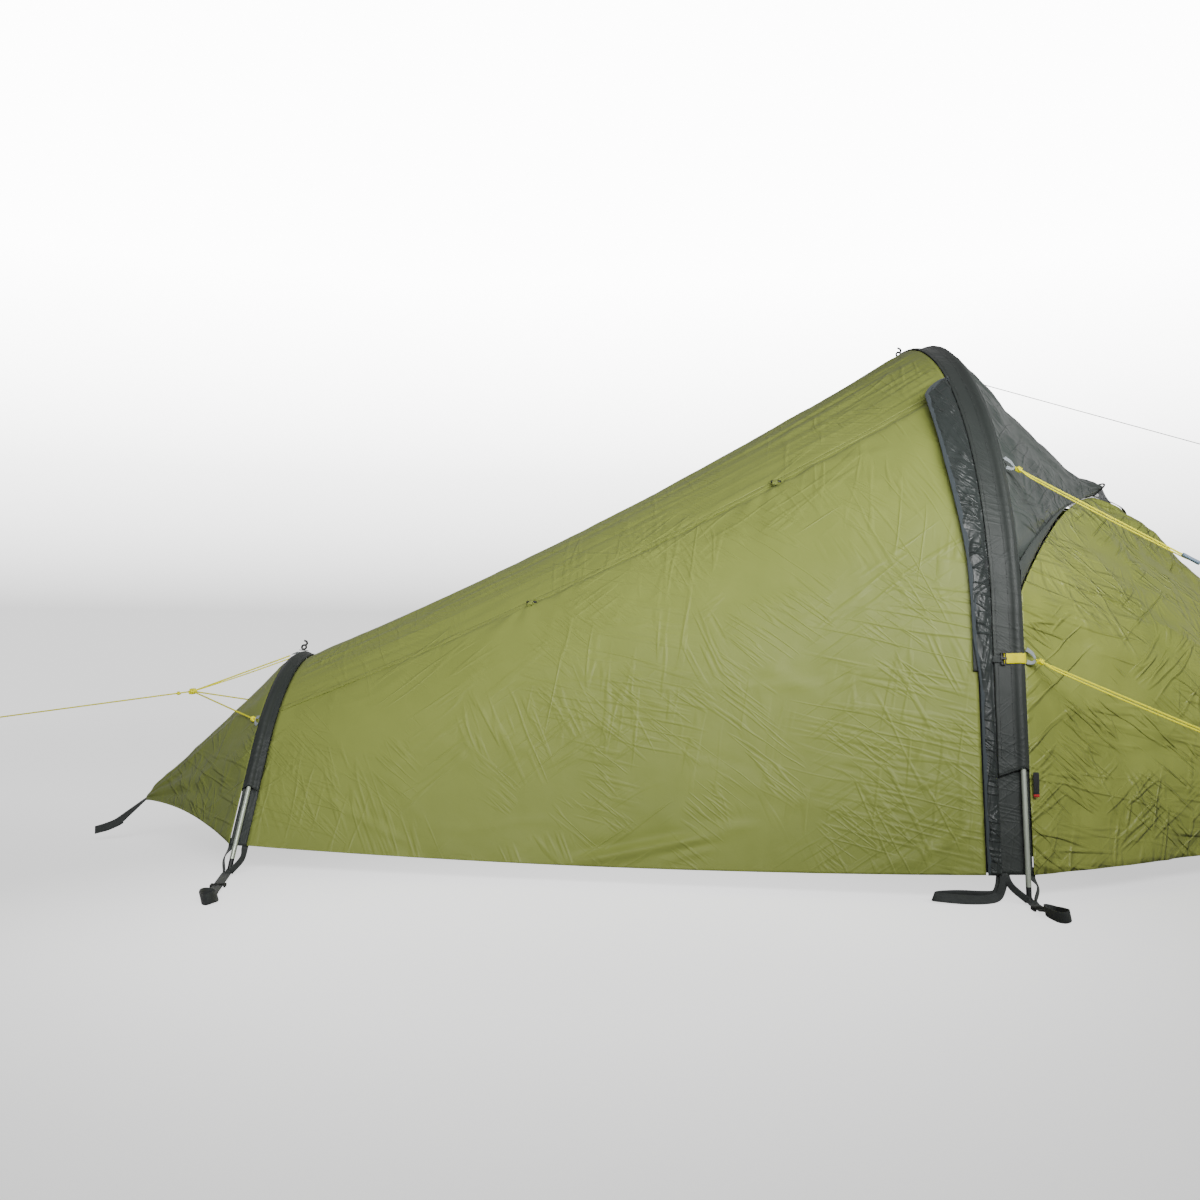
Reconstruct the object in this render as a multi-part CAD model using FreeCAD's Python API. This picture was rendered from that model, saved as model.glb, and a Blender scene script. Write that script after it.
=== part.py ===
import FreeCAD, Part
import math
import os

V = FreeCAD.Vector
NEAR = -1
FAR = 1

# ---- driving dimensions, millimetres; X runs from the tail to the porch tip, Z up, floor at Z 0
HALF_LENGTH = 1497.0          # from the centre to the end of the tail loop and of the porch loop
FRONT_X = 255.0               # ground line of the front hoop
HOOP_SPACING = 1345.0
POLE_OD = 8.5
POLE_ID = 7.1
FERRULE_OD = 6.2
FERRULE_ID = 4.6
FERRULE_LENGTH = 60.0
SHOCK_CORD = 2.4
POLE_END_Z = 26.0             # where the lowest tube stops and its tip plug begins
TIP_BALL = 12.0
SKIN = 1.0                    # thickness that a cloth panel is drawn with
SEAM = 0.3                    # half of the gap between two panels at a seam
SLEEVE_WALL = 1.0
SLEEVE_RADIAL = 7.0           # half height of the sleeve's channel section
FLY_RADIAL = -2.0             # cloth surface against the pole's centre line
HEM_FRONT = 44.0
HEM_REAR = 51.0
SEAM_FRONT = 888.0            # height of the roof seam on the front hoop
SEAM_REAR = 295.0
ROOF_SAG = 26.0
CORD = 3.0
APEX_CORD = 1.8
WEB = 18.0                    # webbing width
WEB_T = 1.5
GAP = 0.5


class Hoop:
    """Half width, apex height and leg lean give a straight leg and a tangent arc."""

    def __init__(self, x, half_width, height, lean, tilt):
        self.x = x
        self.tilt = math.radians(tilt)
        self.lean = math.radians(lean)
        s, c, ta = math.cos(self.lean), math.sin(self.lean), math.tan(self.lean)
        self.radius = (half_width - height * ta) / (s - (1 - c) * ta)
        self.centre_z = height - self.radius
        self.arc = self.radius * (math.pi / 2 - self.lean)
        self.tangent = (self.radius * s, self.centre_z + self.radius * c)
        self.leg = self.tangent[1] / math.cos(self.lean)
        self.half = self.arc + self.leg

    def flat(self, run, offset=0.0):
        """Point and normal in the hoop's own plane, run being the path length from the apex."""
        if run <= self.arc:
            a = math.pi / 2 - run / self.radius
            n = (math.cos(a), math.sin(a))
            p = (self.radius * n[0], self.centre_z + self.radius * n[1])
        else:
            n = (math.cos(self.lean), math.sin(self.lean))
            d = run - self.arc
            p = (self.tangent[0] + d * math.sin(self.lean), self.tangent[1] - d * math.cos(self.lean))
        return p[0] + offset * n[0], p[1] + offset * n[1]

    def at(self, run, side, offset=0.0, dx=0.0):
        y, z = self.flat(run, offset)
        s, c = math.sin(self.tilt), math.cos(self.tilt)
        return V(self.x + z * s + dx * c, side * y, z * c - dx * s)

    def run_at(self, z):
        """Path length from the apex down to height z on the hoop."""
        if z < self.tangent[1]:
            return self.arc + (self.tangent[1] - z) / math.cos(self.lean)
        return self.radius * (math.pi / 2 - math.asin((z - self.centre_z) / self.radius))

    def place(self, shape):
        shape = shape.copy()
        shape.rotate(V(0, 0, 0), V(0, 1, 0), math.degrees(self.tilt))
        shape.translate(V(self.x, 0, 0))
        return shape


front = Hoop(FRONT_X, 660.0, 1038.0, 4.5, 0.0)
rear = Hoop(FRONT_X - HOOP_SPACING, 400.0, 400.0, 27.0, 5.0)

parts = {}


def add(node, *shapes):
    for shape in shapes:
        parts.setdefault(node, []).extend(shape.Solids)


def mirrored(shape):
    return shape.mirror(V(0, 0, 0), V(0, 1, 0))


def unit(v):
    v = V(v)
    v.normalize()
    return v


def along(hoop, section, start, stop, side):
    """Sweep a face lying in the XZ plane at the apex (Z measured from the pole) from start to stop."""
    solids = []
    face = section.copy()
    face.translate(V(0, 0, hoop.centre_z + hoop.radius))
    centre = V(0, 0, hoop.centre_z)
    a0 = math.degrees(min(start, hoop.arc) / hoop.radius)
    a1 = math.degrees(min(stop, hoop.arc) / hoop.radius)
    if a1 - a0 > 1e-6:
        f = face.copy()
        f.rotate(centre, V(1, 0, 0), -side * a0)
        solids.append(f.revolve(centre, V(1, 0, 0), -side * (a1 - a0)))
    b0 = max(start, hoop.arc)
    b1 = max(stop, hoop.arc)
    if b1 - b0 > 1e-6:
        f = face.copy()
        f.rotate(centre, V(1, 0, 0), -side * math.degrees(hoop.arc / hoop.radius))
        down = V(0, side * math.sin(hoop.lean), -math.cos(hoop.lean))
        f.translate(down * (b0 - hoop.arc))
        solids.append(f.extrude(down * (b1 - b0)))
    shape = solids[0]
    if len(solids) > 1:
        shape = shape.fuse(solids[1]).removeSplitter()
    return hoop.place(shape)


def ring_face(outer, inner=0.0, dx=0.0, dz=0.0):
    face = Part.Face(Part.Wire(Part.makeCircle(outer / 2, V(dx, 0, dz), V(0, 1, 0))))
    if inner:
        face = face.cut(Part.Face(Part.Wire(Part.makeCircle(inner / 2, V(dx, 0, dz), V(0, 1, 0)))))
    return face.Faces[0]


def box_face(x0, x1, z0, z1):
    return Part.Face(Part.makePolygon([V(x0, 0, z0), V(x1, 0, z0), V(x1, 0, z1), V(x0, 0, z1), V(x0, 0, z0)]))


def strip(rail_a, rail_b, thickness=SKIN, outward=None, gap=SEAM, trim=0.0):
    """Thin closed cloth strip between two rails of points, thickness laid on the inner side."""
    wires = []
    last = len(rail_a) - 1
    rail_a = [V(p) for p in rail_a]
    rail_b = [V(p) for p in rail_b]
    if trim:
        for rail in (rail_a, rail_b):
            rail[0] = rail[0] + unit(rail[1] - rail[0]) * trim
            rail[last] = rail[last] + unit(rail[last - 1] - rail[last]) * trim
    middle = (rail_a[0] + rail_b[0] + rail_a[last] + rail_b[last]) * 0.25
    for i in range(last + 1):
        a, b = rail_a[i], rail_b[i]
        lengthwise = (rail_a[min(i + 1, last)] + rail_b[min(i + 1, last)]
                      - rail_a[max(i - 1, 0)] - rail_b[max(i - 1, 0)])
        n = unit((b - a).cross(lengthwise))
        want = outward if outward is not None else V(0, middle.y, middle.z)
        if n.dot(want) < 0:
            n = n * -1
        across = unit(b - a)
        a, b = a + across * gap, b - across * gap
        wires.append(Part.makePolygon([a, b, b - n * thickness, a - n * thickness, a]))
    return Part.makeLoft(wires, True, True)


def fan(points_a, points_b, **kw):
    """One strip per pair of stations between two rows of points."""
    out = []
    for i in range(len(points_a) - 1):
        out.append(strip([points_a[i], points_b[i]], [points_a[i + 1], points_b[i + 1]], **kw))
    return out


def blend(p, q, t):
    return V(p) + (V(q) - V(p)) * t


def rod(start, end, diameter, inner=0.0):
    d = V(end) - V(start)
    body = Part.makeCylinder(diameter / 2, d.Length, V(start), d)
    if inner:
        body = body.cut(Part.makeCylinder(inner / 2, d.Length, V(start), d))
    return body


def bar(start, end, width, thickness, across):
    """Flat band from start to end; width is measured along the direction across."""
    d = V(end) - V(start)
    length = d.Length
    x = unit(d)
    z = unit(x.cross(V(across)))
    y = unit(z.cross(x))
    block = Part.makeBox(length, width, thickness, V(0, -width / 2, -thickness / 2))
    m = FreeCAD.Matrix(x.x, y.x, z.x, start.x, x.y, y.y, z.y, start.y, x.z, y.z, z.z, start.z, 0, 0, 0, 1)
    return block.transformGeometry(m)


def in_frame(shape, origin, x_dir, across):
    """Move a shape drawn at the origin so that its X, Y run along x_dir, across."""
    x = unit(x_dir)
    z = unit(x.cross(V(across)))
    y = unit(z.cross(x))
    m = FreeCAD.Matrix(x.x, y.x, z.x, origin.x, x.y, y.y, z.y, origin.y, x.z, y.z, z.z, origin.z, 0, 0, 0, 1)
    out = shape.copy()
    out.transformShape(m)
    return out


def web_ring(centre, direction, length, width, height=WEB):
    """Webbing loop standing on edge: two straight runs and two round ends, lying along direction."""
    r_out = width / 2
    r_in = r_out - WEB_T
    half = length / 2 - r_out
    outer = Part.makeCylinder(r_out, height)
    ring = outer.cut(Part.makeCylinder(r_in, height))
    pieces = []
    for end in (-1, 1):
        half_disc = Part.makeBox(r_out, 2 * r_out, height, V(0 if end > 0 else -r_out, -r_out, 0))
        piece = ring.common(half_disc)
        piece.translate(V(end * (half + SEAM), 0, 0))
        pieces.append(piece)
    for side in (-1, 1):
        y = r_in if side > 0 else -r_out
        pieces.append(Part.makeBox(2 * half, WEB_T, height, V(-half, y, 0)))
    angle = math.degrees(math.atan2(direction.y, direction.x))
    out = []
    for piece in pieces:
        piece.rotate(V(0, 0, 0), V(0, 0, 1), angle)
        piece.translate(centre)
        out.append(piece)
    return out


# ---- hoop poles: equal tube sections, inner ferrules, tip plugs and a shock cord
def pole(hoop, name, sections):
    bottom = hoop.run_at(POLE_END_Z)
    step = 2 * bottom / sections
    for i in range(sections):
        a = -bottom + i * step + (SEAM / 2 if i else 0)
        b = -bottom + (i + 1) * step - (SEAM / 2 if i < sections - 1 else 0)
        pieces = []
        if a < 0:
            pieces.append(along(hoop, ring_face(POLE_OD, POLE_ID), max(0, -b), -a, NEAR))
        if b > 0:
            pieces.append(along(hoop, ring_face(POLE_OD, POLE_ID), max(0, a), b, FAR))
        tube = pieces[0]
        if len(pieces) > 1:
            tube = tube.fuse(pieces[1]).removeSplitter()
        add(name + "_pole_tubes", tube)
    for i in range(1, sections):
        s = -bottom + i * step
        side = NEAR if s < 0 else FAR
        ferrule = along(hoop, ring_face(FERRULE_OD, FERRULE_ID), abs(s) - FERRULE_LENGTH / 2,
                        abs(s) + FERRULE_LENGTH / 2, side)
        add("pole_ferrules", ferrule)
    for side in (NEAR, FAR):
        top = hoop.at(bottom + SEAM, side)
        low = hoop.at(hoop.run_at(TIP_BALL / 2), side)
        down = unit(low - top)
        plug = Part.makeCylinder(POLE_OD / 2, (low - top).Length, top, down)
        spigot = Part.makeCylinder(FERRULE_OD / 2, 18.0, top - down * 18.0, down)
        plug = plug.fuse(spigot).fuse(Part.makeSphere(TIP_BALL / 2, V(low.x, low.y, TIP_BALL / 2)))
        add("pole_tips", plug.removeSplitter())
        cord_end = hoop.run_at(POLE_END_Z + 24.0)
        add("pole_shock_cords", along(hoop, ring_face(SHOCK_CORD), 1.0, cord_end, side))


pole(front, "front", 7)
pole(rear, "rear", 3)

# ---- pole sleeves: a flat channel around the pole, then a flat band down to the hem
FRONT_SLEEVE = (-40.0, 10.0)
REAR_SLEEVE = (-12.0, 19.0)
FRONT_SLEEVE_END = 212.0
REAR_SLEEVE_END = 150.0


def sleeve_section(x0, x1):
    outer = box_face(x0, x1, -SLEEVE_RADIAL, SLEEVE_RADIAL)
    inner = box_face(x0 + SLEEVE_WALL, x1 - SLEEVE_WALL, -SLEEVE_RADIAL + SLEEVE_WALL,
                     SLEEVE_RADIAL - SLEEVE_WALL)
    return outer.cut(inner).Faces[0]


def sleeve(hoop, name, span, end_z, hem_z, arc_parts):
    section = sleeve_section(*span)
    stations = [hoop.arc * i / arc_parts for i in range(arc_parts + 1)] + [hoop.run_at(end_z)]
    for side in (NEAR, FAR):
        for a, b in zip(stations, stations[1:]):
            add(name, along(hoop, section, a + SEAM, b - SEAM, side))
        band = box_face(span[0], span[1], -SLEEVE_RADIAL, -SLEEVE_RADIAL + SLEEVE_WALL)
        add(name, along(hoop, band, stations[-1] + SEAM, hoop.run_at(hem_z), side))


sleeve(front, "front_pole_sleeve", FRONT_SLEEVE, FRONT_SLEEVE_END, HEM_FRONT, 4)
sleeve(rear, "rear_pole_sleeve", REAR_SLEEVE, REAR_SLEEVE_END, HEM_REAR, 3)

# ---- roof and side panels between the hoops
BACK_OF_FRONT = FRONT_SLEEVE[0] - GAP
FRONT_OF_REAR = REAR_SLEEVE[1] + GAP


def front_back(run, side, offset=FLY_RADIAL):
    return front.at(run, side, offset, BACK_OF_FRONT)


def rear_front(run, side, offset=FLY_RADIAL):
    return rear.at(run, side, offset, FRONT_OF_REAR)


seam_f = front.run_at(SEAM_FRONT)
seam_r = rear.run_at(SEAM_REAR)
hem_f = front.run_at(HEM_FRONT)
hem_r = rear.run_at(HEM_REAR)
ROOF_STATIONS = 3
LENGTHWISE = [0.0, 0.25, 0.5, 0.75, 1.0]


def roof_rail(share, side):
    rail = []
    for t in LENGTHWISE:
        p = blend(front_back(share * seam_f, side), rear_front(share * seam_r, side), t)
        p.z -= ROOF_SAG * 4 * t * (1 - t) * math.cos(share * math.pi / 2)
        rail.append(p)
    return rail


for side in (NEAR, FAR):
    for i in range(ROOF_STATIONS):
        add("fly_roof", strip(roof_rail(i / ROOF_STATIONS, side), roof_rail((i + 1) / ROOF_STATIONS, side)))

SIDE_SHARES = [0.0, 0.22, 0.44, 0.72, 1.0]


def side_points(side, door_edge=0.0):
    edge = BACK_OF_FRONT - door_edge
    f = [front.at(seam_f + (hem_f - seam_f) * s, side, FLY_RADIAL, edge) for s in SIDE_SHARES]
    r = [rear_front(seam_r + (hem_r - seam_r) * s, side) for s in SIDE_SHARES]
    return f, r


add("fly_side_far", *fan(*side_points(FAR)))

# ---- door: the lower front part of the near side, folding about the diagonal from tail hem to seam
ZIP_DOOR_EDGE = 66.0          # the door cloth stops this far behind the front pole's centre line
DOOR_TOP_Z = SEAM_FRONT + 12.0
diag_low = rear.at(rear.run_at(HEM_REAR + 6.0), NEAR, FLY_RADIAL, FRONT_OF_REAR + 6.0)
diag_top = front.at(front.run_at(DOOR_TOP_Z), NEAR, FLY_RADIAL, BACK_OF_FRONT)
diag = unit(diag_top - diag_low)
out_normal = unit(V(0, -1.0, 0.42))
out_normal = unit(out_normal - diag * out_normal.dot(diag))
up_side = unit(diag.cross(out_normal))
if up_side.z < 0:
    up_side = up_side * -1
DIAG_GAP = 1.5
HALF_SPACE = 4000.0


def half_space(direction):
    corner = V(-HALF_SPACE / 2, -HALF_SPACE / 2, DIAG_GAP)
    block = Part.makeBox(HALF_SPACE, HALF_SPACE, HALF_SPACE / 2, corner)
    x = diag
    z = direction
    y = unit(z.cross(x))
    o = diag_low
    m = FreeCAD.Matrix(x.x, y.x, z.x, o.x, x.y, y.y, z.y, o.y, x.z, y.z, z.z, o.z, 0, 0, 0, 1)
    block.transformShape(m)
    return block


above = half_space(up_side)
below = half_space(up_side * -1)
SLIVER = 200.0
fixed_strips = fan(*side_points(NEAR))
door_strips = fan(*side_points(NEAR, ZIP_DOOR_EDGE + BACK_OF_FRONT))
for piece in fixed_strips:
    for solid in piece.common(above).Solids:
        if solid.Volume > SLIVER:
            add("fly_side_near", solid)
for piece in door_strips:
    for solid in piece.common(below).Solids:
        if solid.Volume > SLIVER:
            add("fly_door_panel", solid)

# zip: two tapes with a half coil each, following the hoop under the storm flap
TAPE = 0.8
COIL = 2.2
ZIP_TOP_Z = 812.0
ZIP_LOW_Z = HEM_FRONT + 4.0
zip_top = front.run_at(ZIP_TOP_Z)
zip_low = front.run_at(ZIP_LOW_Z)


def zip_half(tape_x, coil_x):
    tape = box_face(min(tape_x), max(tape_x), FLY_RADIAL - TAPE, FLY_RADIAL)
    coil_mid = FLY_RADIAL - TAPE / 2
    coil = box_face(min(coil_x), max(coil_x), coil_mid - COIL / 2, coil_mid + COIL / 2)
    face = tape.fuse(coil).removeSplitter().Faces
    out = []
    cuts = [zip_top, (zip_top + front.arc) / 2, front.arc, zip_low]
    for a, b in zip(cuts, cuts[1:]):
        for f in face:
            out.append(along(front, f, a + SEAM, b - SEAM, NEAR))
    return out


add("zip_tape_door", *zip_half((-65.4, -56.0), (-56.0, -54.0)))
add("zip_tape_fixed", *zip_half((-50.8, -40.6), (-52.8, -50.8)))

# sliders: an upper plate and pull tab riding on the fixed tape
SLIDER_LENGTH = 14.0
SLIDER_LOW_Z = 90.0


def slider(run, tab_down):
    plate_face = box_face(-53.4, -44.0, FLY_RADIAL + 1.1, FLY_RADIAL + 2.3)
    plate = along(front, plate_face, run, run + SLIDER_LENGTH, NEAR)
    end = run + SLIDER_LENGTH + 22.0 if tab_down else run - 22.0
    lo, hi = min(run + 4.0, end), max(run + 4.0, end)
    tab = along(front, box_face(-51.0, -47.0, FLY_RADIAL + 2.3, FLY_RADIAL + 3.5), lo, hi, NEAR)
    return plate.fuse(tab).removeSplitter()


slider_low_run = front.run_at(SLIDER_LOW_Z)
add("zip_slider_lower", slider(slider_low_run, True))
slider_top_run = zip_top + 30.0
add("zip_slider_upper", slider(slider_top_run, True))

# storm flap over the zip, wider towards its round top
FLAP_RADIAL = 3.0
FLAP_RIGHT = -42.0
FLAP_TOP_Z = 896.0
flap_profile = [(FLAP_TOP_Z, -50.0), (884.0, -70.0), (857.0, -94.0), (784.0, -93.0), (654.0, -85.0),
                (555.0, -75.5), (420.0, -72.5), (340.0, -65.0), (HEM_FRONT, -65.0)]
flap_area = [V(FRONT_X + x, -900.0, z) for z, x in flap_profile]
flap_area += [V(FRONT_X, -900.0, HEM_FRONT), V(FRONT_X, -900.0, 848.0)]
flap_prism = Part.Face(Part.makePolygon(flap_area + flap_area[:1])).extrude(V(0, 700.0, 0))
flap_section = box_face(-96.0, FLAP_RIGHT, FLAP_RADIAL - SKIN, FLAP_RADIAL)
flap_top_run = front.run_at(FLAP_TOP_Z + 6.0)
flap_cuts = [flap_top_run, (flap_top_run + front.arc) / 2, front.arc, front.run_at(HEM_FRONT + 1.0)]
for a, b in zip(flap_cuts, flap_cuts[1:]):
    add("zip_storm_flap", along(front, flap_section, a + SEAM, b - SEAM, NEAR).common(flap_prism))
tab_runs = [front.run_at(419.0), front.run_at(367.0)]
add("zip_storm_flap", strip([front.at(r, NEAR, FLY_RADIAL + 1.6, -78.0) for r in tab_runs],
                            [front.at(r, NEAR, FLY_RADIAL + 1.6, -66.0) for r in tab_runs], gap=0.0))

# ---- tail: gores from the rear hoop to a small cuff, and a strap loop
TAIL_CUFF_X = -1378.0
CUFF_HALF = 32.0
CUFF_RISE = 14.0
CUFF_Z = 106.0
BACK_OF_REAR = REAR_SLEEVE[0] - GAP
TAIL_STATIONS = 5


def cuff(x, share, side):
    a = share * math.pi / 2
    return V(x, side * CUFF_HALF * math.sin(a), CUFF_Z - CUFF_RISE + CUFF_RISE * math.cos(a))


for side in (NEAR, FAR):
    hoop_row = [rear.at(hem_r * i / TAIL_STATIONS, side, FLY_RADIAL, BACK_OF_REAR)
                for i in range(TAIL_STATIONS + 1)]
    cuff_row = [cuff(TAIL_CUFF_X, i / TAIL_STATIONS, side) for i in range(TAIL_STATIONS + 1)]
    add("fly_tail", *fan(hoop_row, cuff_row))

# ---- porch: gores from the front leg, the hood's edge and the vent to the porch tip
PORCH_CUFF_X = 1430.0
FRONT_OF_FRONT = FRONT_SLEEVE[1] + GAP
HOOD_LOW_Z = 505.0
HOOD_EDGE_RISE = 34.0          # the hood's lower edge arches this much above a straight line
vent_corner = V(596.0, 104.0, 712.0)
vent_nose = V(708.0, 0.0, 696.0)
PORCH_CUFF_Z = 70.0


def on_side(p, side):
    return V(p.x, p.y * side, p.z)


def porch_cuff(share, side):
    a = share * math.pi / 2
    return V(PORCH_CUFF_X, side * CUFF_HALF * math.sin(a), PORCH_CUFF_Z - CUFF_RISE + CUFF_RISE * math.cos(a))


for side, node in ((NEAR, "porch_near"), (FAR, "porch_far")):
    leg_low = front.at(hem_f, side, FLY_RADIAL, FRONT_OF_FRONT)
    leg_mid = front.at(front.run_at(260.0), side, FLY_RADIAL, FRONT_OF_FRONT)
    leg_top = front.at(front.run_at(HOOD_LOW_Z - 12.0), side, FLY_RADIAL, FRONT_OF_FRONT)
    edge_mid = blend(leg_top, on_side(vent_corner, side), 0.5) + V(0, 0, HOOD_EDGE_RISE)
    vent_row = [on_side(vent_nose + V(0, 1.0, 0), side), on_side(vent_corner, side), edge_mid]
    row = vent_row + [leg_top, leg_mid, leg_low]
    tip = [porch_cuff(s, side) for s in (0.02, 0.3, 0.5, 0.7, 0.85, 1.0)]
    add(node, *fan(row, tip, gap=0.5))

# hood: gores from the hoop to the vent's mouth arch
MOUTH_BACK = V(591.0, 0.0, 722.0)
MOUTH_PEAK = V(646.0, 0.0, 761.0)
MOUTH_HALF = 104.0
HOOD_STATIONS = 4
HOOD_DIP = 26.0                # the crown dips this much behind the flared brim
HOOD_DIP_AT = 0.7


def mouth(share, side, inset=0.0):
    a = share * math.pi / 2
    axis = MOUTH_PEAK - MOUTH_BACK
    rise = axis.Length - inset
    return MOUTH_BACK + unit(axis) * (rise * math.cos(a)) + V(0, side * (MOUTH_HALF - inset) * math.sin(a), 0)


hood_f = front.run_at(HOOD_LOW_Z)
for side in (NEAR, FAR):
    hoop_row = [front.at(hood_f * i / HOOD_STATIONS, side, FLY_RADIAL + 0.6, FRONT_OF_FRONT)
                for i in range(HOOD_STATIONS + 1)]
    mouth_row = [mouth(i / HOOD_STATIONS, side) for i in range(HOOD_STATIONS + 1)]
    dip_row = []
    for i in range(HOOD_STATIONS + 1):
        share = i / HOOD_STATIONS
        arch = HOOD_EDGE_RISE * 4 * HOOD_DIP_AT * (1 - HOOD_DIP_AT)
        rise = arch * share ** 6 - HOOD_DIP * (1 - share)
        dip_row.append(blend(hoop_row[i], mouth_row[i], HOOD_DIP_AT) + V(0, 0, rise))
    add("vent_hood", *fan(hoop_row, dip_row), *fan(dip_row, mouth_row))

# mesh in the mouth, between the hood's arch and the porch's top edge
MESH_DROP = 2.5
for side in (NEAR, FAR):
    shares = [0.02, 0.35, 0.68]
    top_row = [mouth(s, side, 3.0) - V(0, 0, MESH_DROP) for s in shares]
    low_row = [blend(on_side(vent_nose, side), on_side(vent_corner, side), s) + V(-5.0, 0, 3.0) for s in shares]
    add("vent_mesh", *fan(top_row, low_row, thickness=0.6, outward=V(1, 0, 1), gap=0.6))

# mesh prop: a short stiffener across the mouth's edge
for side in (NEAR, FAR):
    for a, b in ((0.04, 0.36), (0.36, 0.68), (0.68, 0.96)):
        p, q = mouth(a, side) + V(6.6, 0, 1.6), mouth(b, side) + V(6.6, 0, 1.6)
        add("vent_stiffener", rod(p, q - unit(q - p) * 1.0, 2.5))

# ---- strap loops at the tail, the porch tip, the feet and the hem
TAIL_LOOP_Z = 22.0
PORCH_LOOP_Z = 10.0
LOOP_WEB = 14.0


def end_strap(cuff_x, cuff_z, loop_z, sign):
    start = V(cuff_x + sign * 1.0, 0, cuff_z - CUFF_RISE / 2)
    knee = V(sign * (HALF_LENGTH - 44.0), 0, loop_z + WEB / 2)
    add("end_straps", bar(start, knee, WEB, WEB_T, V(0, 1, 0)))
    for piece in web_ring(V(sign * (HALF_LENGTH - 21.0), 0, loop_z), V(1, 0, 0), 42.0, 16.0, LOOP_WEB):
        add("end_straps", piece)


end_strap(TAIL_CUFF_X, CUFF_Z, TAIL_LOOP_Z, -1)
end_strap(PORCH_CUFF_X, PORCH_CUFF_Z, PORCH_LOOP_Z, 1)

# foot straps stand on edge behind and before each pole foot, then one strap runs out to a peg loop
STRAP_CLEAR = 9.5             # from the pole's centre line to a strap beside it
locks = {}


def foot(hoop, name, span, loop_at, loop_dir, loop_length, hem_z):
    tip = hoop.at(hoop.run_at(TIP_BALL / 2), NEAR)
    behind = hoop.at(hoop.run_at(hem_z - 6.0), NEAR, -SLEEVE_RADIAL, min(span[0] + 8.0, -STRAP_CLEAR))
    before = hoop.at(hoop.run_at(hem_z - 6.0), NEAR, -SLEEVE_RADIAL, max(span[1] - 8.0, STRAP_CLEAR))
    root = V(tip.x, tip.y - 12.0, 7.0)
    pieces = []
    for top, shift in ((behind, V(-14.0, 0, 0)), (before, V(14.0, 0, 0))):
        d = unit(root - top)
        pieces.append(bar(top, root + shift - d * 10.0, 12.0, WEB_T, V(0, 0, 1)))
    add("foot_straps", *pieces)
    add("foot_straps", *[mirrored(p) for p in pieces])
    d = unit(loop_dir)
    ring_centre = V(loop_at.x, loop_at.y, 0.3)
    near_end = ring_centre - d * (loop_length / 2 + 0.6)
    strap_start = V(root.x, root.y - 8.0, 3.0)
    strap_end = V(near_end.x, near_end.y, 3.0)
    strap = bar(strap_start, strap_end, WEB, WEB_T, V(1, 0, 0))
    loop = [strap] + web_ring(ring_centre, d, loop_length, 24.0)
    add(name + "_peg_loops", *loop)
    add(name + "_peg_loops", *[mirrored(p) for p in loop])
    # ladder lock riding on the strap
    run = unit(strap_end - strap_start)
    mid = blend(strap_start, strap_end, 0.5)
    lock = Part.makeBox(20.0, 26.0, 5.0, V(-10.0, -13.0, -2.5))
    lock = lock.cut(Part.makeBox(22.0, WEB + 1.2, WEB_T + 1.0, V(-11.0, -WEB / 2 - 0.6, -WEB_T / 2 - 0.5)))
    for x in (-4.5, 4.5):
        lock = lock.cut(Part.makeBox(4.0, WEB + 1.2, 3.0, V(x - 2.0, -WEB / 2 - 0.6, 0.5)))
    lock = in_frame(lock, mid, run, V(1, 0, 0))
    add(name + "_ladder_lock_near", lock)
    add(name + "_ladder_lock_far", mirrored(lock))
    locks[name] = (mid, run, (strap_end - strap_start).Length)


foot(front, "front", FRONT_SLEEVE, V(256.0, -778.0, 0), V(0.15, -1, 0), 56.0, HEM_FRONT)
foot(rear, "rear", REAR_SLEEVE, V(-1046.0, -645.0, 0), V(0.25, -1, 0), 56.0, HEM_REAR)

# hem loops behind the front feet
hem_loop = web_ring(V(152.0, -650.0, 0.3), V(1, 0.06, 0), 92.0, 24.0, 16.0)
hem_tab = bar(V(200.5, -649.0, 9.0), V(216.0, -648.0, HEM_FRONT - 2.0), 14.0, WEB_T, V(0, 1, 0))
add("hem_loops", hem_tab, *hem_loop)
add("hem_loops", mirrored(hem_tab), *[mirrored(p) for p in hem_loop])

# ---- sleeve bands with a hook on both front legs, side label, seam toggles, apex hooks
BAND_Z = 395.0
BAND_H = 16.0


def band_around(side):
    run = front.run_at(BAND_Z)
    r = SLEEVE_RADIAL + 0.4
    outer = box_face(FRONT_SLEEVE[0] + 8.0, FRONT_SLEEVE[1] + 0.4 + WEB_T, r, r + WEB_T)
    edge = box_face(FRONT_SLEEVE[1] + 0.4, FRONT_SLEEVE[1] + 0.4 + WEB_T, FLY_RADIAL + 1.0, r)
    face = outer.fuse(edge).removeSplitter().Faces[0]
    return along(front, face, run, run + BAND_H, side)


for side in (NEAR, FAR):
    run = front.run_at(BAND_Z)
    add("sleeve_bands", band_around(side))
    hook = along(front, box_face(FRONT_SLEEVE[0] + 1.0, FRONT_SLEEVE[0] + 7.6, SLEEVE_RADIAL + 0.4,
                                 SLEEVE_RADIAL + 4.4), run - 1.5, run + BAND_H + 1.5, side)
    add("sleeve_band_hooks", hook)

label_runs = [front.run_at(205.0), front.run_at(165.0)]
label_in = FRONT_OF_FRONT + 4.0
add("side_label", strip([front.at(r, NEAR, FLY_RADIAL + 1.8, label_in) for r in label_runs],
                        [front.at(r, NEAR, FLY_RADIAL + 1.8, label_in + 9.0) for r in label_runs], gap=0.0))

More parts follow.
